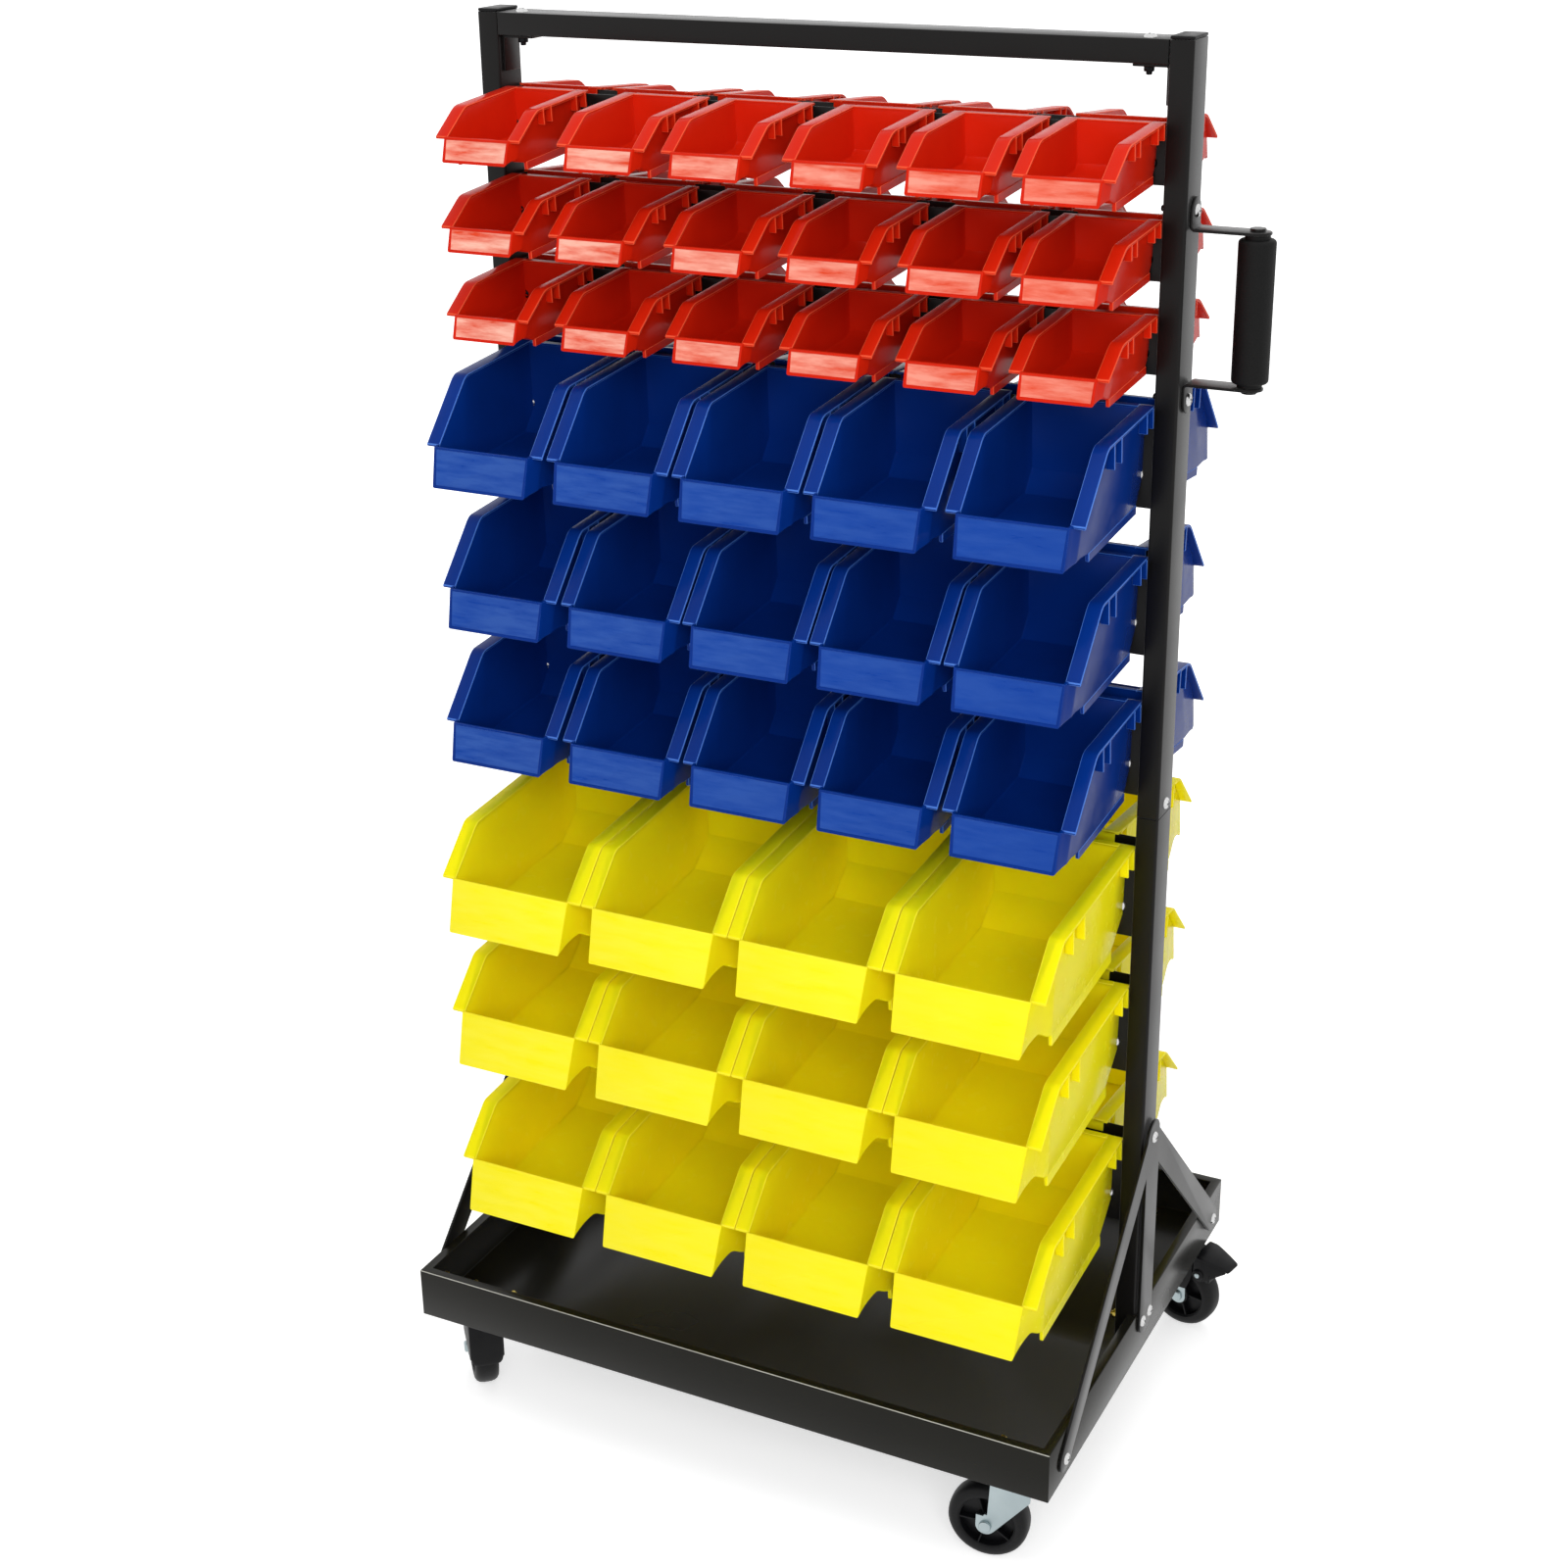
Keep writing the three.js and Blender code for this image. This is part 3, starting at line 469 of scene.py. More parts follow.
def arc(cx, cy, radius, start_degrees, end_degrees, steps):
    """Points on an arc."""
    turns = [math.radians(start_degrees + (end_degrees - start_degrees) * i / steps)
             for i in range(steps + 1)]
    return [(cx + radius * math.cos(t), cy + radius * math.sin(t)) for t in turns]


def rounded(x0, x1, y0, y1, radius, steps=5):
    """A rectangle's outline with round corners."""
    near, far, low, high = x0 + radius, x1 - radius, y0 + radius, y1 - radius
    corners = ((far, high), (near, high), (near, low), (far, low))
    return [point for k, (x, y) in enumerate(corners)
            for point in arc(x, y, radius, 90 * k, 90 * k + 90, steps)]


def lathe(profile, sides, axis="Z"):
    """A closed profile of (radius, height) points, spun round an axis."""
    turns = [2 * math.pi * k / sides for k in range(sides)]
    return looped([[spot(axis, r * math.cos(t), r * math.sin(t), h) for r, h in profile]
                   for t in turns])


def mirrored(half):
    """A whole profile from the half of it on one side of height 0."""
    return half + [(r, -h) for r, h in reversed(half)]


def between(knots, x):
    """The height of a bent line at x."""
    for (a, low), (b, high) in zip(knots, knots[1:]):
        if x <= b:
            return low + (high - low) * (x - a) / (b - a)
    return knots[-1][1]


print("points on a rounded square:", len(rounded(0, 9, 0, 9, 2)))

# %% Rounding, joining and finishing
MOST_SLOTS, SMOOTH_BELOW = 3, math.radians(34)


def to_mesh(shape):
    """Turns a bmesh into a mesh whose faces point outwards."""
    bmesh.ops.recalc_face_normals(shape, faces=shape.faces)
    mesh = bpy.data.meshes.new("part")
    shape.to_mesh(mesh)
    shape.free()
    return mesh


def evaluated(holder):
    """The mesh that an object's modifiers make. The object is removed."""
    graph = bpy.context.evaluated_depsgraph_get()
    made = bpy.data.meshes.new_from_object(holder.evaluated_get(graph), depsgraph=graph)
    bpy.data.objects.remove(holder)
    return made


def softened(shape, width, segments=2, edge_slot=0, angle=32):
    """A shape or mesh with its sharp edges rounded. edge_slot is the rounded strips' material."""
    mesh = shape if isinstance(shape, bpy.types.Mesh) else to_mesh(shape)
    holder = show("holder", mesh)
    bevel = holder.modifiers.new("edges", "BEVEL")
    bevel.width = width
    bevel.segments = segments
    bevel.limit_method = "ANGLE"
    bevel.angle_limit = math.radians(angle)
    bevel.material = edge_slot
    while len(mesh.materials) < MOST_SLOTS:
        mesh.materials.append(None)
    return evaluated(holder)


def combined(meshes, operation):
    """The first of several closed meshes with the others merged in or cut out."""
    first, *others = [show("holder", mesh) for mesh in meshes]
    for other in others:
        step = first.modifiers.new("step", "BOOLEAN")
        step.operation = operation
        step.solver = "EXACT"
        step.object = other
    made = evaluated(first)
    for other in others:
        bpy.data.objects.remove(other)
    return made


def joined(meshes):
    """Several meshes as one, each face keeping its material number."""
    whole = bmesh.new()
    for mesh in meshes:
        whole.from_mesh(mesh)
    made = bpy.data.meshes.new("joined")
    whole.to_mesh(made)
    whole.free()
    return made


def piece(name, mesh, body, slot, finishes, replaces=(), place=Matrix()):
    """A finished piece: its place goes into its mesh, and it rides on a body of the frame."""
    mesh = mesh.copy()
    mesh.name = name
    mesh.transform(CART @ place)
    numbers = [min(face.material_index, len(finishes) - 1) for face in mesh.polygons]
    mesh.materials.clear()  # this sets every face's number to 0
    for finish in finishes:
        mesh.materials.append(finish)
    mesh.polygons.foreach_set("material_index", numbers)
    mesh.shade_smooth()
    mesh.set_sharp_from_angle(angle=SMOOTH_BELOW)
    made = show(name, mesh)
    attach(made, body)
    if replaces:
        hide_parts(*replaces)


def steel(name, mesh, node):
    """A powder-coated piece that stands still on the cart in place of a CAD node."""
    piece(name, mesh, "cart", "black_powder", [black_powder], [node])


print("finishing helpers ready")

# %% [markdown]
# ## Bins
# A bin is a trough: two side walls, a back that slants in at the bottom, a low front panel and a
# wide opening above it. The walls run straight and close in towards the front panel in a flat
# facet on each side. Sections of the trough, set one behind the other, are lofted into one skin,
# outside and inside. That way gives the hollow under the nose and the bend of the rim from two
# small functions. Lengths run from the back to the front, heights from the rim down.

# %% The three moulds
HANG = math.radians(4.5)
MEASURES = {  # red, blue and yellow bin, in millimetres
    "length": (121, 173, 233.5),
    "height": (47.5, 87.5, 98.5),
    "rim": (83.5, 118, 145.6),  # width over both flanges
    "flange": (10, 11.4, 12.4),
    "top_drop": (19.4, 47.6, 36),  # depth of the front panel's upper edge
    "bottom_drop": (39.2, 81.5, 81.5),  # depth of its lower edge
    "lean": (7.5, 10.7, 18.5),  # how far the upper edge stands back
    "bend": (80, 106, 170),  # where the rim turns down
    "round": (5, 5, 4),  # half the length of that turn
    "tip": (112, 157, 213),  # where the flange ends
    "back": (34, 62, 66),  # height of the upright part of the back
    "rear_foot": (9, 20, 36),  # where the foot rails begin
    "foot": (92, 128, 178),  # where they end
    "foot_height": (6, 6.5, 10),
    "notch": (17, 22, 26),  # length of the rise from belly to nose
    "hollow": (3, 3, 7),  # how far the nose arches up
    "facet": (15, 21, 45),
    "overhang": (5.8, 7, 7.3),  # of the flange over the wall
    "narrowing": (1.0, 0.98, 0.957),  # share of the front panel's width left at its lower edge
    "front_rib": (13, 21, 23),
    "rear_rib": (12.5, 17, 20),
    "label": (2.2, 2.4, 0),  # margin round the label field
}
MOULDS = {colour: SimpleNamespace(**{key: row[k] for key, row in MEASURES.items()})
          for k, colour in enumerate(FINISHES)}


def rim_height(tub, length):
    """Height of the rim: level, a rounded bend, then steep beside the opening."""
    steepness = tub.top_drop / (tub.tip - tub.bend)
    past = length - tub.bend
    radius = tub.round
    if past <= -radius:
        return 0
    if past < radius:
        return -steepness * (past + radius) ** 2 / (4 * radius)
    return max(-steepness * past, -tub.top_drop)


def belly_height(tub, length):
    """Height of the underside: the slanted back, the flat belly, the hollow under the nose."""
    belly = -tub.height + tub.foot_height
    hollow_length = tub.foot + tub.notch
    hollow = -tub.bottom_drop + tub.hollow
    if length < tub.rear_foot:
        back_length = tub.back * math.tan(HANG)
        return between([(back_length, -tub.back), (tub.rear_foot, belly)], length)
    if length < tub.foot:
        return belly
    if length < hollow_length:
        share = (length - tub.foot) / tub.notch
        return belly + (hollow - belly) * (1 - math.cos(math.pi * share)) / 2
    share = (length - hollow_length) / (tub.length - hollow_length)
    return hollow - tub.hollow * share ** 2.2


rim_of_yellow = [round(rim_height(MOULDS["yellow"], y), 1) for y in (0, 170, 190, 213)]
print("rim of the yellow bin:", rim_of_yellow)

# %% One section of the trough
WALL, SIDE_WALL = 2, 1.6
OUTER_DRAFT, INNER_DRAFT = 1, 1.2
CORNER, RIM_SINK = 1.8, 1
NEAR_TIP, CLOSEST, NOSE_STEPS = 0.5, 0.9, 12


def section(tub, length, inner):
    """Half a section, from the wall's top round the corner to the floor: (x, length, height)."""
    panel_top = tub.length - tub.lean
    inset = WALL if inner else 0
    if inner:
        length = WALL + length * (panel_top - 2 * WALL) / panel_top
    upright = tub.back * math.tan(HANG) + inset
    low_length = between([(inset, upright), (tub.rear_foot * 0.8, tub.rear_foot + inset),
                          (tub.bend, tub.foot),
                          (panel_top - inset, tub.length - inset)], length)
    top = rim_height(tub, length)
    if length < tub.tip - NEAR_TIP:
        top -= RIM_SINK
    bottom = belly_height(tub, low_length) + inset
    closing = max(0, (length - panel_top + tub.facet) / tub.facet)
    panel_half = tub.rim / 2 - tub.flange
    taper = closing * panel_half * (1 - tub.narrowing)
    if inner:
        half = panel_half - SIDE_WALL
        low_half = half - INNER_DRAFT - taper
    else:
        wide = tub.rim / 2 - tub.overhang
        half = wide + (panel_half - wide) * closing
        low_half = half - OUTER_DRAFT * (1 - closing) - taper
    corner = arc(low_half - CORNER, bottom + CORNER, CORNER, 0, -90, 3)
    return [(x, length + (low_length - length) * (top - z) / (top - bottom), z)
            for x, z in [(half, top)] + corner]


def sections(tub):
    """Rim lengths where the trough gets a section: more of them where the shape turns."""
    panel_top = tub.length - tub.lean
    bend, radius = tub.bend, tub.round
    lengths = {0, tub.rear_foot * 0.8, bend * 0.4, bend * 0.7, tub.tip, panel_top,
               panel_top - tub.facet}
    lengths |= {bend + radius * k / 3 for k in range(-3, 4)}
    lengths |= {bend + (panel_top - bend) * k / NOSE_STEPS for k in range(1, NOSE_STEPS)}
    kept = []
    for length in sorted(lengths):
        if not kept or length - kept[-1] > CLOSEST:
            kept.append(length)
    kept[-1] = panel_top
    return kept


print("sections:", {colour: len(sections(tub)) for colour, tub in MOULDS.items()})

# %% The trough
EDGE_SLOT, LABEL_SLOT = 1, 2
LABEL_STEP, LABEL_DEPTH = 0.5, 0.6


def trough(tub):
    """The bin's walls, floor, back and front panel as one closed skin."""
    shape = bmesh.new()
    outside, inside = [], []
    for length in sections(tub):
        for rows, inner in ((outside, False), (inside, True)):
            half = section(tub, length, inner)
            whole = half + [(-x, y, z) for x, y, z in reversed(half)]
            rows.append([shape.verts.new(point) for point in whole])
    for rows, order in ((outside, 1), (inside, -1)):
        for near, far in zip(rows, rows[1:]):
            for i in range(len(near) - 1):
                quad = (near[i], near[i + 1], far[i + 1], far[i])
                shape.faces.new(quad[::order])
    for side in (0, -1):
        for i in range(len(outside) - 1):
            shape.faces.new((outside[i][side], outside[i + 1][side],
                             inside[i + 1][side], inside[i][side]))
    for end in (0, -1):
        shape.faces.new((outside[end][0], outside[end][-1], inside[end][-1], inside[end][0]))
        panel = shape.faces.new(outside[end])
        shape.faces.new(inside[end][::-1])
    if tub.label:
        bmesh.ops.recalc_face_normals(shape, faces=shape.faces)
        for margin, depth in ((tub.label, 0), (LABEL_STEP, -LABEL_DEPTH)):
            bmesh.ops.inset_individual(shape, faces=[panel], thickness=margin, depth=depth)
    panel.material_index = LABEL_SLOT
    return shape


print("trough ready")

# %% [markdown]
# ## Ribs under the rim
# Two pairs of small plates stiffen the rim on each side, one pair at the bend and one at the
# back. They repeat, so Geometry Nodes place them: the tree takes points and stands a plate of a
# named size on each. Every tree here ends the same way, with Realize Instances and Set Material.

# %% The tree that stands plates on points
def instance_tree(name, inputs, placed):
    """A tree with named inputs. What placed makes of them ends as one mesh with a finish."""
    tree = bpy.data.node_groups.new(name, "GeometryNodeTree")
    for label, kind in {"Points": "Geometry", **inputs, "Finish": "Material"}.items():
        tree.interface.new_socket(label, in_out="INPUT", socket_type=f"NodeSocket{kind}")
    tree.interface.new_socket("Mesh", in_out="OUTPUT", socket_type="NodeSocketGeometry")
    given = add(tree, "NodeGroupInput").outputs
    real = add(tree, "GeometryNodeRealizeInstances", {"Geometry": placed(tree, given)})
    finished = add(tree, "GeometryNodeSetMaterial", {
        "Geometry": real.outputs["Geometry"], "Material": given["Finish"]})
    add(tree, "NodeGroupOutput", {"Mesh": finished.outputs["Geometry"]})
    return tree


def through_tree(points, tree, **values):
    """Runs points through a tree. A named input is set by its socket's identifier."""
    cloud = bpy.data.meshes.new("points")
    cloud.from_pydata(points, [], [])
    holder = show("holder", cloud)
    nodes = holder.modifiers.new("tree", "NODES")
    nodes.node_group = tree
    for item in tree.interface.items_tree:
        key = item.name.lower().replace(" ", "_")
        if item.in_out == "INPUT" and key in values:
            nodes[item.identifier] = values[key]
    return evaluated(holder)


def plates(tree, given):
    """A plate on every point."""
    plate = add(tree, "GeometryNodeMeshCube", {"Size": given["Plate size"]})
    return add(tree, "GeometryNodeInstanceOnPoints", {
        "Points": given["Points"], "Instance": plate.outputs["Mesh"]}).outputs["Instances"]


PLATES = instance_tree("plates on points", {"Plate size": "Vector"}, plates)
print("tree inputs:", [i.name for i in PLATES.interface.items_tree])

# %% Rim, ribs, feet and hook
EDGE, ROOT = 2.4, 1.9
RIB_THICK, RIB_PROUD, RIB_SINK = 2.2, 0.7, 1
REAR_RIBS, FRONT_RIBS = (2.2, 17), (0.73, 0.885)
FOOT_THICK, FOOT_INSET, FOOT_PROUD = 3.2, 1, 0.15
HOOK_BACK, HOOK_SHEET, HOOK_DEEP = -4.1, 2, 11
SHALLOW = 3


def flange_root(tub):
    """Half the width between the flanges' inner edges, which are sunk in the walls."""
    return tub.rim / 2 - tub.flange - ROOT


def rim_strip(tub, side):
    """The flat flange along one side: level, bent, and steep down to its blunt end."""
    lengths = [length for length in sections(tub) if length < tub.tip - NEAR_TIP]
    rings = []
    for length in [HOOK_BACK, *lengths, tub.tip]:
        top = rim_height(tub, length)
        inner, outer = side * flange_root(tub), side * tub.rim / 2
        rings.append([(inner, length, top), (outer, length, top), (outer, length, top - EDGE),
                      (inner, length, top - EDGE)])
    return loft(rings)


def ribs(tub, lengths, drop):
    """The ribs under both flanges at some lengths."""
    reach = tub.overhang + RIB_PROUD
    middle = tub.rim / 2 + RIB_PROUD - reach / 2
    points = [(side * middle, length, rim_height(tub, length) - drop / 2 - RIB_SINK)
              for side in (-1, 1) for length in lengths]
    return through_tree(points, PLATES, plate_size=(reach, RIB_THICK, drop))


def foot_rail(tub, side):
    """The rail a bin stands on: square at the front, with a slanted end at the back."""
    half = tub.rim / 2 - tub.overhang - FOOT_INSET
    base = -tub.height
    top = base + tub.foot_height + 1.5
    rear, front = tub.rear_foot - 2, tub.foot + 1
    outline = [(rear, base), (front, base), (front, top - 0.5), (rear, top)]
    x0, x1 = sorted((side * (half - FOOT_THICK), side * (half + FOOT_PROUD)))
    return board(outline, x0, x1, "X")


def hook(tub):
    """The rim's back strip, bent over the channel's edge, and its tongue."""
    root, tongue = flange_root(tub), tub.rim / 2 - 4
    return [box(-root, root, HOOK_BACK, 2.3, -HOOK_SHEET, 0),
            box(-tongue, tongue, HOOK_BACK, HOOK_BACK + HOOK_SHEET, -HOOK_DEEP, -1)]


def plain_inside(mesh, tub):
    """Painted edge highlight and wear stay on outer edges; inside corners get plain plastic."""
    for face in mesh.polygons:
        x, length, height = face.center
        inward = face.normal.x * x < -0.1 * abs(x) or face.normal.z > 0.2
        deep = height < rim_height(tub, length) - SHALLOW
        if face.material_index == EDGE_SLOT and inward and deep:
            face.material_index = 0
    return mesh


def bin_mesh(tub):
    """A whole bin at the origin: length along +Y, rim at Z = 0."""
    # EDGE_SLOT gives the rounded strips the paler finish: a painted highlight, partly wear
    parts = [plain_inside(softened(trough(tub), 0.55, 2, EDGE_SLOT), tub)]
    parts += [softened(rim_strip(tub, side), 0.75, 2, EDGE_SLOT) for side in (-1, 1)]
    parts += [softened(foot_rail(tub, side), 0.5, 1, EDGE_SLOT) for side in (-1, 1)]
    parts += [softened(shape, 0.4, 1, EDGE_SLOT) for shape in hook(tub)]
    front_ribs = [tub.bend * share for share in FRONT_RIBS]
    for lengths, drop in ((REAR_RIBS, tub.rear_rib), (front_ribs, tub.front_rib)):
        parts.append(softened(ribs(tub, lengths, drop), 0.45, 1, EDGE_SLOT))
    return joined(parts)


MASTERS = {colour: bin_mesh(tub) for colour, tub in MOULDS.items()}
print("faces of a bin:", {colour: len(mesh.polygons) for colour, mesh in MASTERS.items()})

# %% [markdown]
# ## Rows of bins
# Each row hangs on one long edge of a channel and lifts off as one, so its bins ride on the same
# body. The bins lean nose-down by a few degrees and stand a little unevenly, as hands leave them.
# The rear rows are the front ones turned half round.

# %% Where the bins of a row hang
RAIL_FACE = RAIL_HALF + 0.3
GAPS = {  # each gap is a share of the width that the bins leave free, from the left
    "red": [[0.015, 0.33, 0.14, 0.24, 0.145, 0.115], [0.01, 0.22, 0.25, 0.2, 0.2, 0.11],
            [0.005, 0.24, 0.225, 0.21, 0.185, 0.125]],
    "blue": [[0.03, 0.2, 0.19, 0.19, 0.35], [0.34, 0.25, 0.12, 0.12, 0.13],
             [0.03, 0.28, 0.2, 0.25, 0.2]],
    "yellow": [[0.88, 0.025, 0.025, 0.025]] * 3,
}


def hook_height(label):
    """The height at which a row of bins hangs: the top of its CAD node."""
    return cad_box(f"bins_{label}")[1][2]


def bin_places(tub, gaps):
    """Middles of a row's bins."""
    free = CLEAR_WIDTH - len(gaps) * tub.rim
    edge = -CLEAR_WIDTH / 2
    places = []
    for gap in gaps:
        edge += free * gap
        places.append(edge + tub.rim / 2)
        edge += tub.rim
    return places


print("top red row:", [round(x) for x in bin_places(MOULDS["red"], GAPS["red"][0])])

# %% Hang all ninety bins
HANGING = Matrix.Rotation(HANG, 4, "X") @ Matrix.Rotation(math.pi, 4, "Z")
count = 0
for colour, tub in MOULDS.items():
    for row, gaps in enumerate(GAPS[colour], 1):
        for side, about in (("front", 0), ("rear", math.pi)):
            label = f"{colour}_{row}_{side}"
            for number, x in enumerate(bin_places(tub, gaps), 1):
                at = Matrix.Translation((x, -RAIL_FACE, hook_height(label)))
                place = Matrix.Rotation(about, 4, "Z") @ at @ HANGING
                piece(f"bin_{label}_{number}", MASTERS[colour], f"row_{label}",
                      f"{colour}_plastic", FINISHES[colour], [f"bins_{label}"], place)
                count += 1
print("bins hung:", count)

# %% [markdown]
# ## Posts, beam and caps
# Rolled tube has round corners, so each tube is lofted from two rounded outlines, one inside the
# other. The lower and upper length of a post meet at a fine seam on a hidden sleeve.

# %% Tubes and caps
TUBE_RADIUS, SEAM_GAP, FOOT_GAP = 2.2, 0.4, 0.3
LID_LOW, LID_HIGH = FRAME_TOP + 0.3, FRAME_TOP + 2.8
PLUG_INSET, PLUG_DEPTH = 1.9, 13.7


def tube(x0, x1, z0, z1):
    """A standing tube with round corners, open at both ends."""
    outer = rounded(x0, x1, -POST_HALF, POST_HALF, TUBE_RADIUS, 4)
    inner = rounded(x0 + SHEET, x1 - SHEET, SHEET - POST_HALF, POST_HALF - SHEET,
                    TUBE_RADIUS - SHEET, 4)
    levels = [(outer, z0), (outer, z1), (inner, z1), (inner, z0)]
    return softened(looped([[(x, y, z) for x, y in ring] for ring, z in levels]), 0.35, 1)


for label, side in SIDES:
    x0, x1 = sorted((side * POST_IN, side * POST_OUT))
    for part, z0, z1 in (("lower", TRAY_FLOOR + FOOT_GAP, SEAM),
                         ("upper", SEAM + SEAM_GAP, FRAME_TOP)):
        steel(f"post_tube_{label}_{part}", tube(x0, x1, z0, z1), f"post_{label}_{part}")
    plug_half = POST_HALF - PLUG_INSET
    lid = board(rounded(x0, x1, -POST_HALF, POST_HALF, 2.5), LID_LOW, LID_HIGH, "Z")
    plug = board(rounded(x0 + PLUG_INSET, x1 - PLUG_INSET, -plug_half, plug_half, 1.5),
                 FRAME_TOP - PLUG_DEPTH, FRAME_TOP + 1, "Z")
    cap = joined([softened(lid, 0.8), softened(plug, 0.4, 1)])
    piece(f"post_lid_{label}", cap, "cart", "black_plastic", [black_acetal], [f"post_{label}_cap"])
print("posts stand from", TRAY_FLOOR, "to", FRAME_TOP, "mm")

# %% Beam, channels and tray
RIM_DEEP, RIM_WIDE = 1.3, 1.1


def from_cad(node, width, segments=2, edge_slot=0):
    """A copy of a CAD node, in millimetres, merged, with its edges rounded."""
    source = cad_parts[node]
    shape = bmesh.new()
    shape.from_mesh(source.data)
    shape.transform(CART.inverted() @ source.matrix_world)
    bmesh.ops.remove_doubles(shape, verts=shape.verts, dist=0.002)
    bmesh.ops.dissolve_limit(shape, angle_limit=math.radians(1), verts=shape.verts,
                             edges=shape.edges)
    return softened(shape, width, segments, edge_slot)


steel("beam_tube", from_cad("top_beam", 0.9), "top_beam")
for label, _ in SIDES:
    bracket = f"beam_bracket_{label}"
    steel(f"beam_angle_{label}", from_cad(bracket, 0.6), bracket)
for colour in MOULDS:
    for row in (1, 2, 3):
        rail = f"rail_{colour}_{row}"
        steel(f"channel_{colour}_{row}", from_cad(rail, 0.5), rail)
# only the outer edge of the front and rear rim gets the pale coat: a painted highlight where light
# falls, partly wear
tray_mesh = from_cad("tray", 0.6, 2, EDGE_SLOT)
for face in tray_mesh.polygons:
    outer = abs(face.center.y) > TRAY_HALF - RIM_WIDE and abs(face.normal.y) > 0.2
    if face.material_index and not (outer and face.center.z > TRAY_TOP - RIM_DEEP):
        face.material_index = 0
piece("tray_shell", tray_mesh, "cart", "tray_powder", [tray_powder, powder_edge_highlight_and_wear], ["tray"])
print("beam, channels and tray dressed")

# %% [markdown]
# ## Gusset plates
# Each side has one laser-cut plate: a leg up the post and two slanted legs that meet it at the
# top screw. Three straps with round ends are merged into one outline by a Boolean modifier.

# %% Merge the straps
GUSSET_OUT = GUSSET_IN + 2.5
APEX, REACH, GUSSET_FOOT, GUSSET_MIDDLE = 335, 210, 124, 140
LEG_WIDTH, SLANT_WIDTH = 34, 26


def strap(y0, z0, y1, z1, width, x0, x1):
    """A flat bar from one screw to another, with round ends."""
    angle = math.degrees(math.atan2(z1 - z0, y1 - y0))
    outline = (arc(y0, z0, width / 2, angle + 90, angle + 270, 8)
               + arc(y1, z1, width / 2, angle - 90, angle + 90, 8))
    return board(outline, x0, x1, "X")


for label, side in SIDES:
    x0, x1 = sorted((side * GUSSET_IN, side * GUSSET_OUT))
    straps = [strap(y, z, 0, APEX, width, x0, x1) for y, z, width in (
        (0, GUSSET_MIDDLE, LEG_WIDTH), (-REACH, GUSSET_FOOT, SLANT_WIDTH),
        (REACH, GUSSET_FOOT, SLANT_WIDTH))]
    merged = combined([to_mesh(shape) for shape in straps], "UNION")
    steel(f"gusset_plate_{label}", softened(merged, 0.5), f"gusset_{label}")
print("gussets merged")

# %% [markdown]
# ## Push handle
# Two straps are bent at a right angle, with a round tab against the post and a round end over
# the grip. A strap is a path with a half width at each step; the rounds come from the half width
# running out along a circle.

# %% Bent straps
ARM_HALF, ARM_BEND, TAB_LONG, TAB_RUN = 11, 3.5, 25, 22
TAB_STEPS, ARM_STEPS, LEAST_HALF = 8, 24, 2.5


def bent_arm(height, direction):
    """One arm of the handle: tab on the post, bend, arm out to the grip."""
    face = HANDLE_FACE + ARM_SHEET / 2
    path = [(face, height + direction * (TAB_LONG - k * TAB_RUN / TAB_STEPS))
            for k in range(TAB_STEPS)]
    path += [(face + ARM_BEND - a, height + direction * (ARM_BEND - b))
             for a, b in arc(0, 0, ARM_BEND, 0, 90, 5)]
    bent_x = path[-1][0]
    reach = GRIP_X + ARM_HALF - bent_x
    path += [(bent_x + reach * k / ARM_STEPS, height) for k in range(1, ARM_STEPS + 1)]
    travelled = [0]
    for (xa, za), (xb, zb) in zip(path, path[1:]):
        travelled.append(travelled[-1] + math.hypot(xb - xa, zb - za))
    rings = []
    for i, (x, z) in enumerate(path):
        ahead = path[min(i + 1, len(path) - 1)]
        behind = path[max(i - 1, 0)]
        along = Vector((ahead[0] - behind[0], 0, ahead[1] - behind[1])).normalized()
        across = along.cross(Vector((0, 1, 0))) * (ARM_SHEET / 2)
        from_end = min(travelled[i], travelled[-1] - travelled[i])
        short = max(0, ARM_HALF - from_end)
        half = max(math.sqrt(max(ARM_HALF ** 2 - short ** 2, 0)), LEAST_HALF)
        centre, side = Vector((x, 0, z)), Vector((0, half, 0))
        rings.append([centre - side - across, centre + side - across, centre + side + across,
                      centre - side + across])
    return softened(loft(rings), 0.5, 2, angle=50)


steel("handle_strap_upper", bent_arm(ARM_UPPER, 1), "handle_arm_upper")
steel("handle_strap_lower", bent_arm(ARM_LOWER, -1), "handle_arm_lower")
print("handle arms bent")

# %% Grip
GRIP_LOW, GRIP_HIGH = ARM_LOWER + 1.6, ARM_UPPER - 1.6
GRIP_HOLE, GRIP_RADIUS, GRIP_ROUND = 4.4, 15, 3
round_middle = GRIP_RADIUS - GRIP_ROUND
profile = [(GRIP_HOLE, GRIP_LOW), (10, GRIP_LOW), (10.2, GRIP_LOW + 2.6)]
profile += arc(round_middle, GRIP_LOW + 2 * GRIP_ROUND, GRIP_ROUND, -90, 0, 5)
profile += [(GRIP_RADIUS, GRIP_LOW + 12 + (GRIP_HIGH - GRIP_LOW - 24) * k / 5) for k in range(6)]
profile += arc(round_middle, GRIP_HIGH - 2 * GRIP_ROUND, GRIP_ROUND, 0, 90, 5)
profile += [(10.2, GRIP_HIGH - 2.6), (10, GRIP_HIGH), (GRIP_HOLE, GRIP_HIGH)]
piece("grip_sleeve", to_mesh(lathe(profile, 48)), "grip", "grip", [grip_foam], ["handle_grip"],
      Matrix.Translation((GRIP_X, 0, 0)))
print("grip from", GRIP_LOW, "to", GRIP_HIGH, "mm")

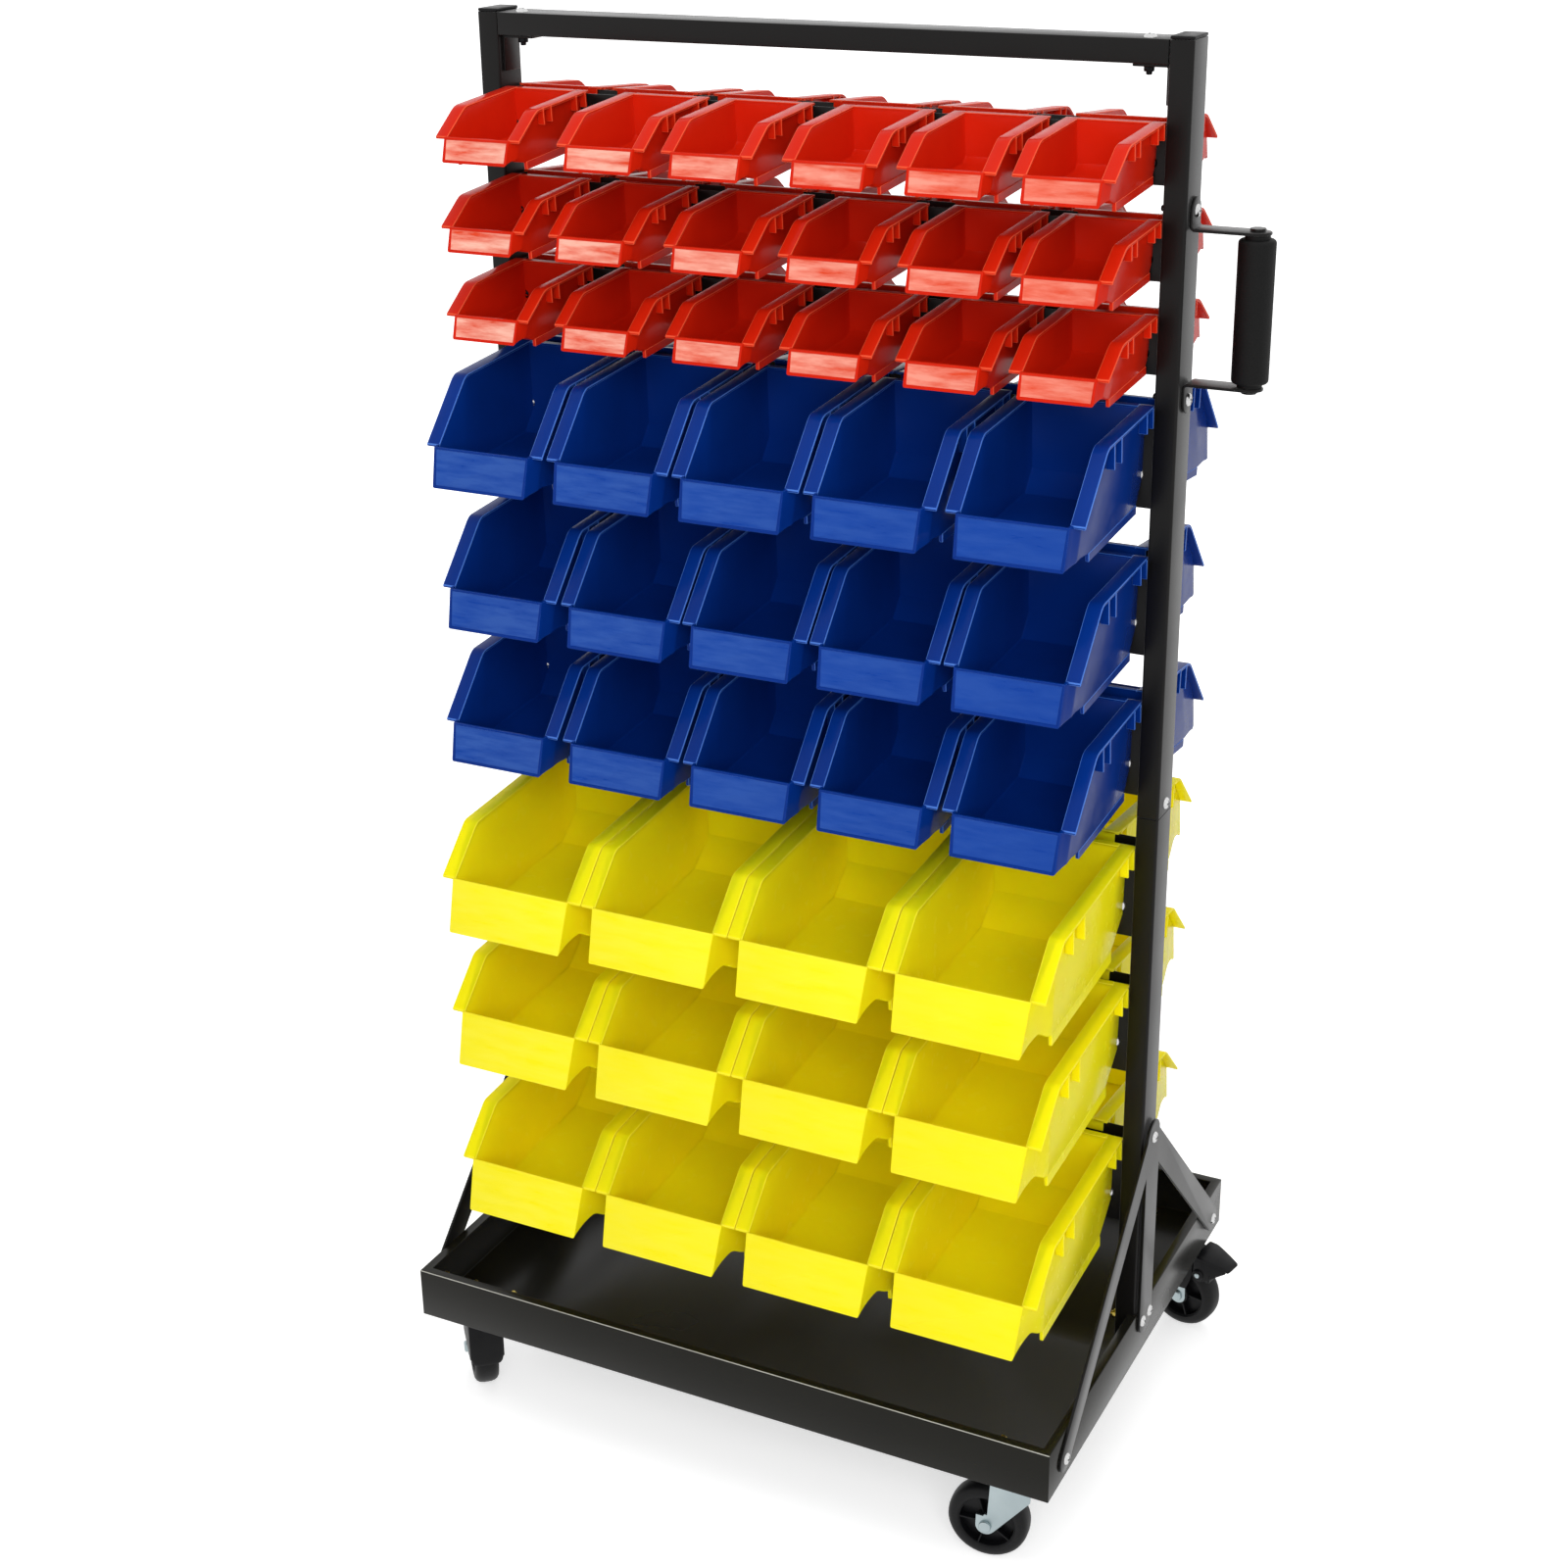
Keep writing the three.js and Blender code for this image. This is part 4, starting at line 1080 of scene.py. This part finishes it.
# %% [markdown]
# ## Casters
# A caster is a bolted top plate with a ball race, a pressed fork with two legs, an axle and a
# wheel with a ribbed core. Two of the four have a brake: a black hood over the fork and a pedal
# that presses a shoe on the tread. Each is built in its own frame, with the swivel axis at Z and
# the wheel trailing to +X, and then turned and stood under its corner of the tray.

# %% Where the casters stand: the turn in degrees, and whether it has a brake
CASTERS = {"front_left": (131, True), "rear_left": (160, False), "front_right": (186, False),
           "rear_right": (-12, True)}
TRAIL = 24


def swivel_axis(name):
    """The middle of a caster's CAD top plate."""
    low, high = cad_box(f"caster_mount_{name}")
    return (low[0] + high[0]) / 2, (low[1] + high[1]) / 2


def axial(profile, sides, x, z):
    """A profile spun round a cross axis through (x, z)."""
    shape = lathe(profile, sides, "Y")
    shape.transform(Matrix.Translation((x, 0, z)))
    return shape


print("swivel axes:", {name: swivel_axis(name) for name in CASTERS})

# %% Top plate and race
PLATE_HALF, PLATE_LOW, PLATE_HIGH = 30, 97.2, 99.7
RACE = [(0, 97.3), (23, 97.3), (23, 95.6), (21.5, 93.6), (20, 92), (18.5, 91.2), (0, 91.2)]
KING_PIN = [(0, 92), (6, 92), (6, 86.2), (5, 85.4), (0, 85.4)]
square = rounded(-PLATE_HALF, PLATE_HALF, -PLATE_HALF, PLATE_HALF, 7)
MOUNT = joined([softened(board(square, PLATE_LOW, PLATE_HIGH, "Z"), 0.5)]
               + [softened(lathe(profile, 32), 0.3, 1) for profile in (RACE, KING_PIN)])
print("mount faces:", len(MOUNT.polygons))

# %% Fork
LEG_IN, LEG_OUT = 12.9, 15.1
AXLE_HEAD = [(0, 18.4), (4.6, 18.4), (5.6, 17.6), (5.8, 15), (0, 15)]
SHAFT = mirrored([(0, -15.4), (4, -15.4)])


def fork_leg(y0, y1):
    """A pressed leg: wide under the race, a slanted front edge, a toothed back edge, a round eye."""
    x, z = TRAIL, WHEEL_RADIUS
    outline = [(-17, 88.5), (-17, 73), (x - 7.4, z - 5.4)]
    outline += arc(x, z, 9, 217, 360, 10)
    outline += [(x + 8.6, z + 10.9), (x + 2, z + 10.4), (x + 0.8, z + 12.6), (x - 1.7, z + 12.2),
                (x - 4, 84), (x - 5, 88.5)]
    return board(outline, y0, y1, "Y")


def fork():
    """Two legs, the crown that joins them, and the axle with its two heads."""
    parts = [softened(fork_leg(LEG_IN, LEG_OUT), 0.5), softened(fork_leg(-LEG_OUT, -LEG_IN), 0.5)]
    crown = board(rounded(-18, 19.5, -LEG_OUT, LEG_OUT, 3), 87.6, 90.7, "Z")
    parts.append(softened(crown, 1.2, 3))
    for side in (-1, 1):
        head = [(radius, side * y) for radius, y in AXLE_HEAD]
        parts.append(softened(axial(head, 24, TRAIL, WHEEL_RADIUS), 0.3, 1))
    return joined(parts + [to_mesh(axial(SHAFT, 24, TRAIL, WHEEL_RADIUS))])


FORK = fork()
print("fork faces:", len(FORK.polygons))

# %% [markdown]
# The wheel's core has thin radial ribs. They repeat round the axle, so a second tree stands a
# rib at every step of a circle, turned to face outwards.

# %% The tree of radial ribs
def radial_ribs(tree, given):
    """Ribs round the Y axis."""
    circle = add(tree, "GeometryNodeMeshCircle", {
        "Vertices": given["Rib count"], "Radius": given["Rib radius"]})
    upright = add(tree, "GeometryNodeTransform", {
        "Geometry": circle.outputs["Mesh"], "Rotation": (math.pi / 2, 0, 0)})
    place = add(tree, "GeometryNodeInputPosition")
    outwards = add(tree, "FunctionNodeAlignRotationToVector", {"Vector": place.outputs[0]},
                   axis="X", pivot_axis="Y")
    rib = add(tree, "GeometryNodeMeshCube", {"Size": given["Rib size"]})
    return add(tree, "GeometryNodeInstanceOnPoints", {
        "Points": upright.outputs["Geometry"], "Instance": rib.outputs["Mesh"],
        "Rotation": outwards.outputs[0]}).outputs["Instances"]


RADIAL = instance_tree("radial ribs", {"Rib count": "Int", "Rib radius": "Float",
                                       "Rib size": "Vector"}, radial_ribs)
print("tree inputs:", [i.name for i in RADIAL.interface.items_tree])

# %% Wheel
TYRE = mirrored([(26, 0), (26, 10.4), (27.2, 11.7), (29.5, 12), (32.5, 11.6), (35, 10.1),
                 (36.7, 7.4), (37.4, 4), (WHEEL_RADIUS, 0)])
CORE = mirrored([(4.3, 12.5), (9, 12.5), (10, 11.8), (10.6, 3), (25, 2.6), (25.6, 9.6), (26.3, 10)])
spokes = through_tree([(0, 0, 0)], RADIAL, rib_count=5, rib_radius=17.6,
                      rib_size=(15.8, 19.5, 1.6))
inner = joined([to_mesh(lathe(CORE, 40, "Y")), softened(spokes, 0.35, 1)])
inner.polygons.foreach_set("material_index", [1] * len(inner.polygons))
WHEEL = joined([to_mesh(lathe(TYRE, 56, "Y")), inner])
WHEEL.transform(Matrix.Translation((TRAIL, 0, WHEEL_RADIUS)))
print("wheel faces:", len(WHEEL.polygons))

# %% Brake hood
CHEEK = [(-18.2, 90.4), (-18.2, 50), (-12, 45.5), (10, 48), (34, 49.5), (38, 60), (40.5, 70),
         (40.5, 84), (30, 90.4)]
ROOF = [(20.5, 90.4), (30, 90.4), (40.5, 84), (40.5, 81.6), (29.4, 88), (20.5, 88)]
FRONT_HALVES = ((90.4, 16.8), (60, 16.8), (50, 16), (45, 14.6), (42, 12.5))


def hood():
    """The black cover over a braked fork: two cheeks, a front wall and a roof."""
    parts = [softened(board(CHEEK, y, y + 1.6, "Y"), 0.6) for y in (15.2, -16.8)]
    front = [[(-16.4, half, z), (-18.2, half, z), (-19.4, half - 4, z), (-19.4, 4 - half, z),
              (-18.2, -half, z), (-16.4, -half, z)] for z, half in FRONT_HALVES]
    return joined(parts + [softened(loft(front), 0.5),
                           softened(board(ROOF, -16.6, 16.6, "Y"), 0.5)])


HOOD = hood()
print("hood faces:", len(HOOD.polygons))

# %% Brake pedal
PEDAL_X, PEDAL_Z = 48, 73
PEDAL_TOP = [(42, 93.2), (50, 92.8), (59, 90.6), (68, 88), (75, 85.8), (79, 84.4)]
PEDAL_LOW = [(42, 70), (45.5, 65.4), (50, 64.6), (56, 67), (67, 75), (79, 83)]
PEDAL_STEPS = (42, 44, 47, 50, 53, 56, 59, 63, 67, 71, 75, 77.5, 79)
PEDAL_HALF, TAPER_FROM, TAPER_LONG, TAPER = 17.6, 50, 29, 8
SHOE = [(55.6, 64.6), (60.4, 66.6), (60.6, 75), (56, 76)]


def pedal():
    """A moulded pedal: a wedge that narrows to its tip, two cheeks and a shoe."""
    pad, cheeks = [], ([], [])
    for x in PEDAL_STEPS:
        half = PEDAL_HALF - TAPER * max(0, (x - TAPER_FROM) / TAPER_LONG) ** 1.2
        if x == PEDAL_STEPS[-1]:
            half -= 2
        top, low = between(PEDAL_TOP, x), between(PEDAL_LOW, x)
        under = max(top - 3, low) - 0.2
        pad.append([(x, -half, top - 1.2), (x, -half + 2.5, top), (x, half - 2.5, top),
                    (x, half, top - 1.2), (x, half, under), (x, -half, under)])
        if top - low > 5:
            for side, rings in zip((-1, 1), cheeks):
                outer, inner = side * half, side * (half - 2.3)
                rings.append([(x, outer, top - 2), (x, inner, top - 2), (x, inner, low),
                              (x, outer, low)])
    shapes = [loft(rings) for rings in (pad, *cheeks)] + [board(SHOE, -15.8, 15.8, "Y")]
    return joined([softened(shape, 0.6) for shape in shapes])


PEDAL = pedal()
BOSS, PIN = (softened(axial(mirrored(half), sides, PEDAL_X, PEDAL_Z), 0.3, 1) for half, sides in (
    ([(0, -20.2), (4.8, -20.2), (6, -19.2)], 24), ([(0, -21), (2.2, -21), (2.8, -20.4)], 20)))
print("pedal faces:", len(PEDAL.polygons))

# %% Stand the casters
for name, (degrees, brake) in CASTERS.items():
    stand = Matrix.Translation((*swivel_axis(name), 0))
    turned = stand @ Matrix.Rotation(math.radians(degrees), 4, "Z")
    piece(f"caster_plate_{name}", MOUNT, "cart", "zinc", [zinc], [f"caster_mount_{name}"], stand)
    piece(f"fork_{name}", FORK, f"swivel_{name}", "zinc", [zinc], [f"caster_fork_{name}"], turned)
    piece(f"wheel_tread_{name}", WHEEL, f"wheel_{name}", "wheel", [tread, core],
          [f"caster_wheel_{name}"], turned)
    if brake:
        black = ("black_plastic", [black_acetal])
        piece(f"brake_hood_{name}", HOOD, f"swivel_{name}", *black, (), turned)
        piece(f"pedal_pad_{name}", PEDAL, f"pedal_{name}", *black, [f"brake_pedal_{name}"], turned)
        piece(f"pedal_boss_{name}", BOSS, f"pedal_{name}", *black, (), turned)
        piece(f"pedal_pin_{name}", PIN, f"pedal_{name}", "zinc", [zinc], (), turned)
print("casters stand:", len(CASTERS))

# %% [markdown]
# ## Screws, bolts and nuts
# All of them repeat, so one tree sets a head on every point, turns it to face its surface and
# spins it by a seeded random angle, because no two screws stop at the same turn.

# %% A pan head, a hexagon head and a nut
PAN = [(0, -0.4), (5.4, -0.4), (5.5, 0), (5.2, 1.1), (4.4, 2.1), (3, 2.8), (1.4, 3.1), (0, 3.2)]
ACROSS, SHAFT_RADIUS, CHAMFER = 8, 2.5, 0.6


def pan_head():
    """A pan-head screw with a cross recess."""
    bars = [box(-3.1, 3.1, -0.75, 0.75, 0.9, 5) for _ in range(2)]
    bars[1].transform(Matrix.Rotation(math.pi / 2, 4, "Z"))
    return combined([to_mesh(shape) for shape in (lathe(PAN, 20), *bars)], "DIFFERENCE")


def hexagon(height, stick_out):
    """A nut or a hexagon head, with the bolt's end standing out of it."""
    ring = arc(0, 0, ACROSS / math.sqrt(3), 0, 300, 5)
    parts = [softened(board(ring, -0.3, height, "Z"), 0.7)]
    if stick_out:
        end = height + stick_out
        parts.append(to_mesh(lathe([(0, 0), (SHAFT_RADIUS, 0), (SHAFT_RADIUS, end - CHAMFER),
                                    (SHAFT_RADIUS - CHAMFER, end), (0, end)], 16)))
    return joined(parts)


HEADS = {"pan": pan_head(), "hex": hexagon(3.4, 0), "nut": hexagon(4, 2.5)}
print("heads:", {name: len(mesh.polygons) for name, mesh in HEADS.items()})

# %% The tree that sets fasteners
def spun_heads(tree, given):
    """A head on every point, facing one way and spun at random."""
    head = add(tree, "GeometryNodeObjectInfo", {"Object": given["Head"]})
    on_points = add(tree, "GeometryNodeInstanceOnPoints", {
        "Points": given["Points"], "Instance": head.outputs["Geometry"],
        "Rotation": given["Facing"]})
    spin = add(tree, "FunctionNodeRandomValue", {
        "Min": 0.0, "Max": 2 * math.pi, "Seed": given["Seed"]}, data_type="FLOAT")
    about = add(tree, "ShaderNodeCombineXYZ", {"Z": spin.outputs["Value"]})
    return add(tree, "GeometryNodeRotateInstances", {
        "Instances": on_points.outputs["Instances"],
        "Rotation": about.outputs[0]}).outputs["Instances"]


FASTENERS = instance_tree("fasteners", {"Head": "Object", "Facing": "Vector", "Seed": "Int"},
                          spun_heads)
SEED, QUARTER = 7, math.pi / 2
UP, DOWN = (0, 0, 0), (math.pi, 0, 0)
TO_RIGHT, TO_LEFT = (0, QUARTER, 0), (0, -QUARTER, 0)
TO_FRONT, TO_REAR = (QUARTER, 0, 0), (-QUARTER, 0, 0)
GROUPS = {"screws": (nickel, []), "black_screws_and_nuts": (black_oxide, []),
          "nuts_and_bolts": (yellow_zinc, [])}


def fasten(group, kind, points, facing):
    """Sets heads of one kind on points, as a part of a group."""
    finish, meshes = GROUPS[group]
    master = show("master", HEADS[kind])
    meshes.append(through_tree(points, FASTENERS, head=master, facing=facing, seed=SEED,
                               finish=finish))
    bpy.data.objects.remove(master)


print("tree inputs:", [i.name for i in FASTENERS.interface.items_tree])

# %% Set the screws, bolts and nuts
RAIL_SCREW_X, SCREW_DROP = 292.6, {"red": 31, "blue": 57.5, "yellow": 57.5}
POST_SCREW_Y, SEAM_SCREW, TAB_SCREW, WALL_NUT = 9.5, 10, 14, 3.3
BEAM_BOLT_X, BEAM_BOLT_Y, BEAM_NUT_DROP = 286, -7, 21.7
PLATE_BOLT = 22.5


def rail_screws(*colours):
    """Screw places on the channels of some colours, as (x, z)."""
    return [(x, hook_height(f"{colour}_{row}_front") - SCREW_DROP[colour])
            for colour in colours for row in (1, 2, 3) for x in (-RAIL_SCREW_X, RAIL_SCREW_X)]


gusset_screws = [(0, APEX), (-REACH, GUSSET_FOOT), (REACH, GUSSET_FOOT),
                 (-POST_SCREW_Y, GUSSET_MIDDLE), (POST_SCREW_Y, GUSSET_MIDDLE)]
for y, facing in ((-RAIL_HALF, TO_FRONT), (RAIL_HALF, TO_REAR)):
    fasten("screws", "pan", [(x, y, z) for x, z in rail_screws("blue", "yellow")], facing)
    fasten("black_screws_and_nuts", "pan", [(x, y, z) for x, z in rail_screws("red")], facing)
for side, outwards, inwards in ((1, TO_RIGHT, TO_LEFT), (-1, TO_LEFT, TO_RIGHT)):
    fasten("screws", "pan", [(side * GUSSET_OUT, y, z) for y, z in gusset_screws], outwards)
    fasten("screws", "pan", [(side * POST_OUT, 0, SEAM + SEAM_SCREW)], outwards)
    for x, reach, z in ((TRAY_SIDE - WALL_NUT, REACH, GUSSET_FOOT),
                        (POST_IN, POST_SCREW_Y, GUSSET_MIDDLE)):
        fasten("nuts_and_bolts", "nut", [(side * x, y, z) for y in (-reach, reach)], inwards)
tabs = (ARM_UPPER + TAB_SCREW, ARM_LOWER - TAB_SCREW)
fasten("screws", "pan", [(HANDLE_FACE + ARM_SHEET, 0, z) for z in tabs], TO_RIGHT)
fasten("black_screws_and_nuts", "nut", [(POST_IN, 0, z) for z in tabs], TO_LEFT)
for group, kind, z, facing in (("screws", "pan", FRAME_TOP, UP),
                               ("black_screws_and_nuts", "nut", FRAME_TOP - BEAM_NUT_DROP, DOWN)):
    fasten(group, kind, [(x, BEAM_BOLT_Y, z) for x in (BEAM_BOLT_X, -BEAM_BOLT_X)], facing)
plate_bolts = [(x + dx, y + dy) for x, y in map(swivel_axis, CASTERS)
               for dx in (-PLATE_BOLT, PLATE_BOLT) for dy in (-PLATE_BOLT, PLATE_BOLT)]
fasten("nuts_and_bolts", "nut", [(x, y, TRAY_FLOOR) for x, y in plate_bolts], UP)
fasten("nuts_and_bolts", "hex", [(x, y, PLATE_LOW) for x, y in plate_bolts], DOWN)
for name, (finish, meshes) in GROUPS.items():
    piece(name, joined(meshes), "cart", "zinc", [finish])
    print(name, "sets:", len(meshes))

# %% [markdown]
# ## CAD nodes that stay
# Sleeves, rod and the hidden parts are already right in the CAD. They keep their meshes and get
# the finish of what they are made of.

# %% Finishes for the CAD nodes, told from a word in the name
CAD_FINISHES = {
    "sleeve": zinc, "cap": black_acetal, "tray": tray_powder, "pedal": black_acetal,
    "wheel": tread, "fork": zinc, "mount": zinc, "grip": grip_foam,
    **{f"bins_{colour}": finishes[0] for colour, finishes in FINISHES.items()},
}
for name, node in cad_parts.items():
    finish = next((CAD_FINISHES[word] for word in CAD_FINISHES if word in name), black_powder)
    for slot in node.material_slots:
        slot.material = finish
print("CAD nodes finished:", len(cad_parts))

# %% Compare the boxes and finish
low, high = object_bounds()
for name, before, after in (("low", cad_low, low), ("high", cad_high, high)):
    print(name, "corner moved by", [round((a - b) / MILLIMETRE, 1) for a, b in zip(after, before)])
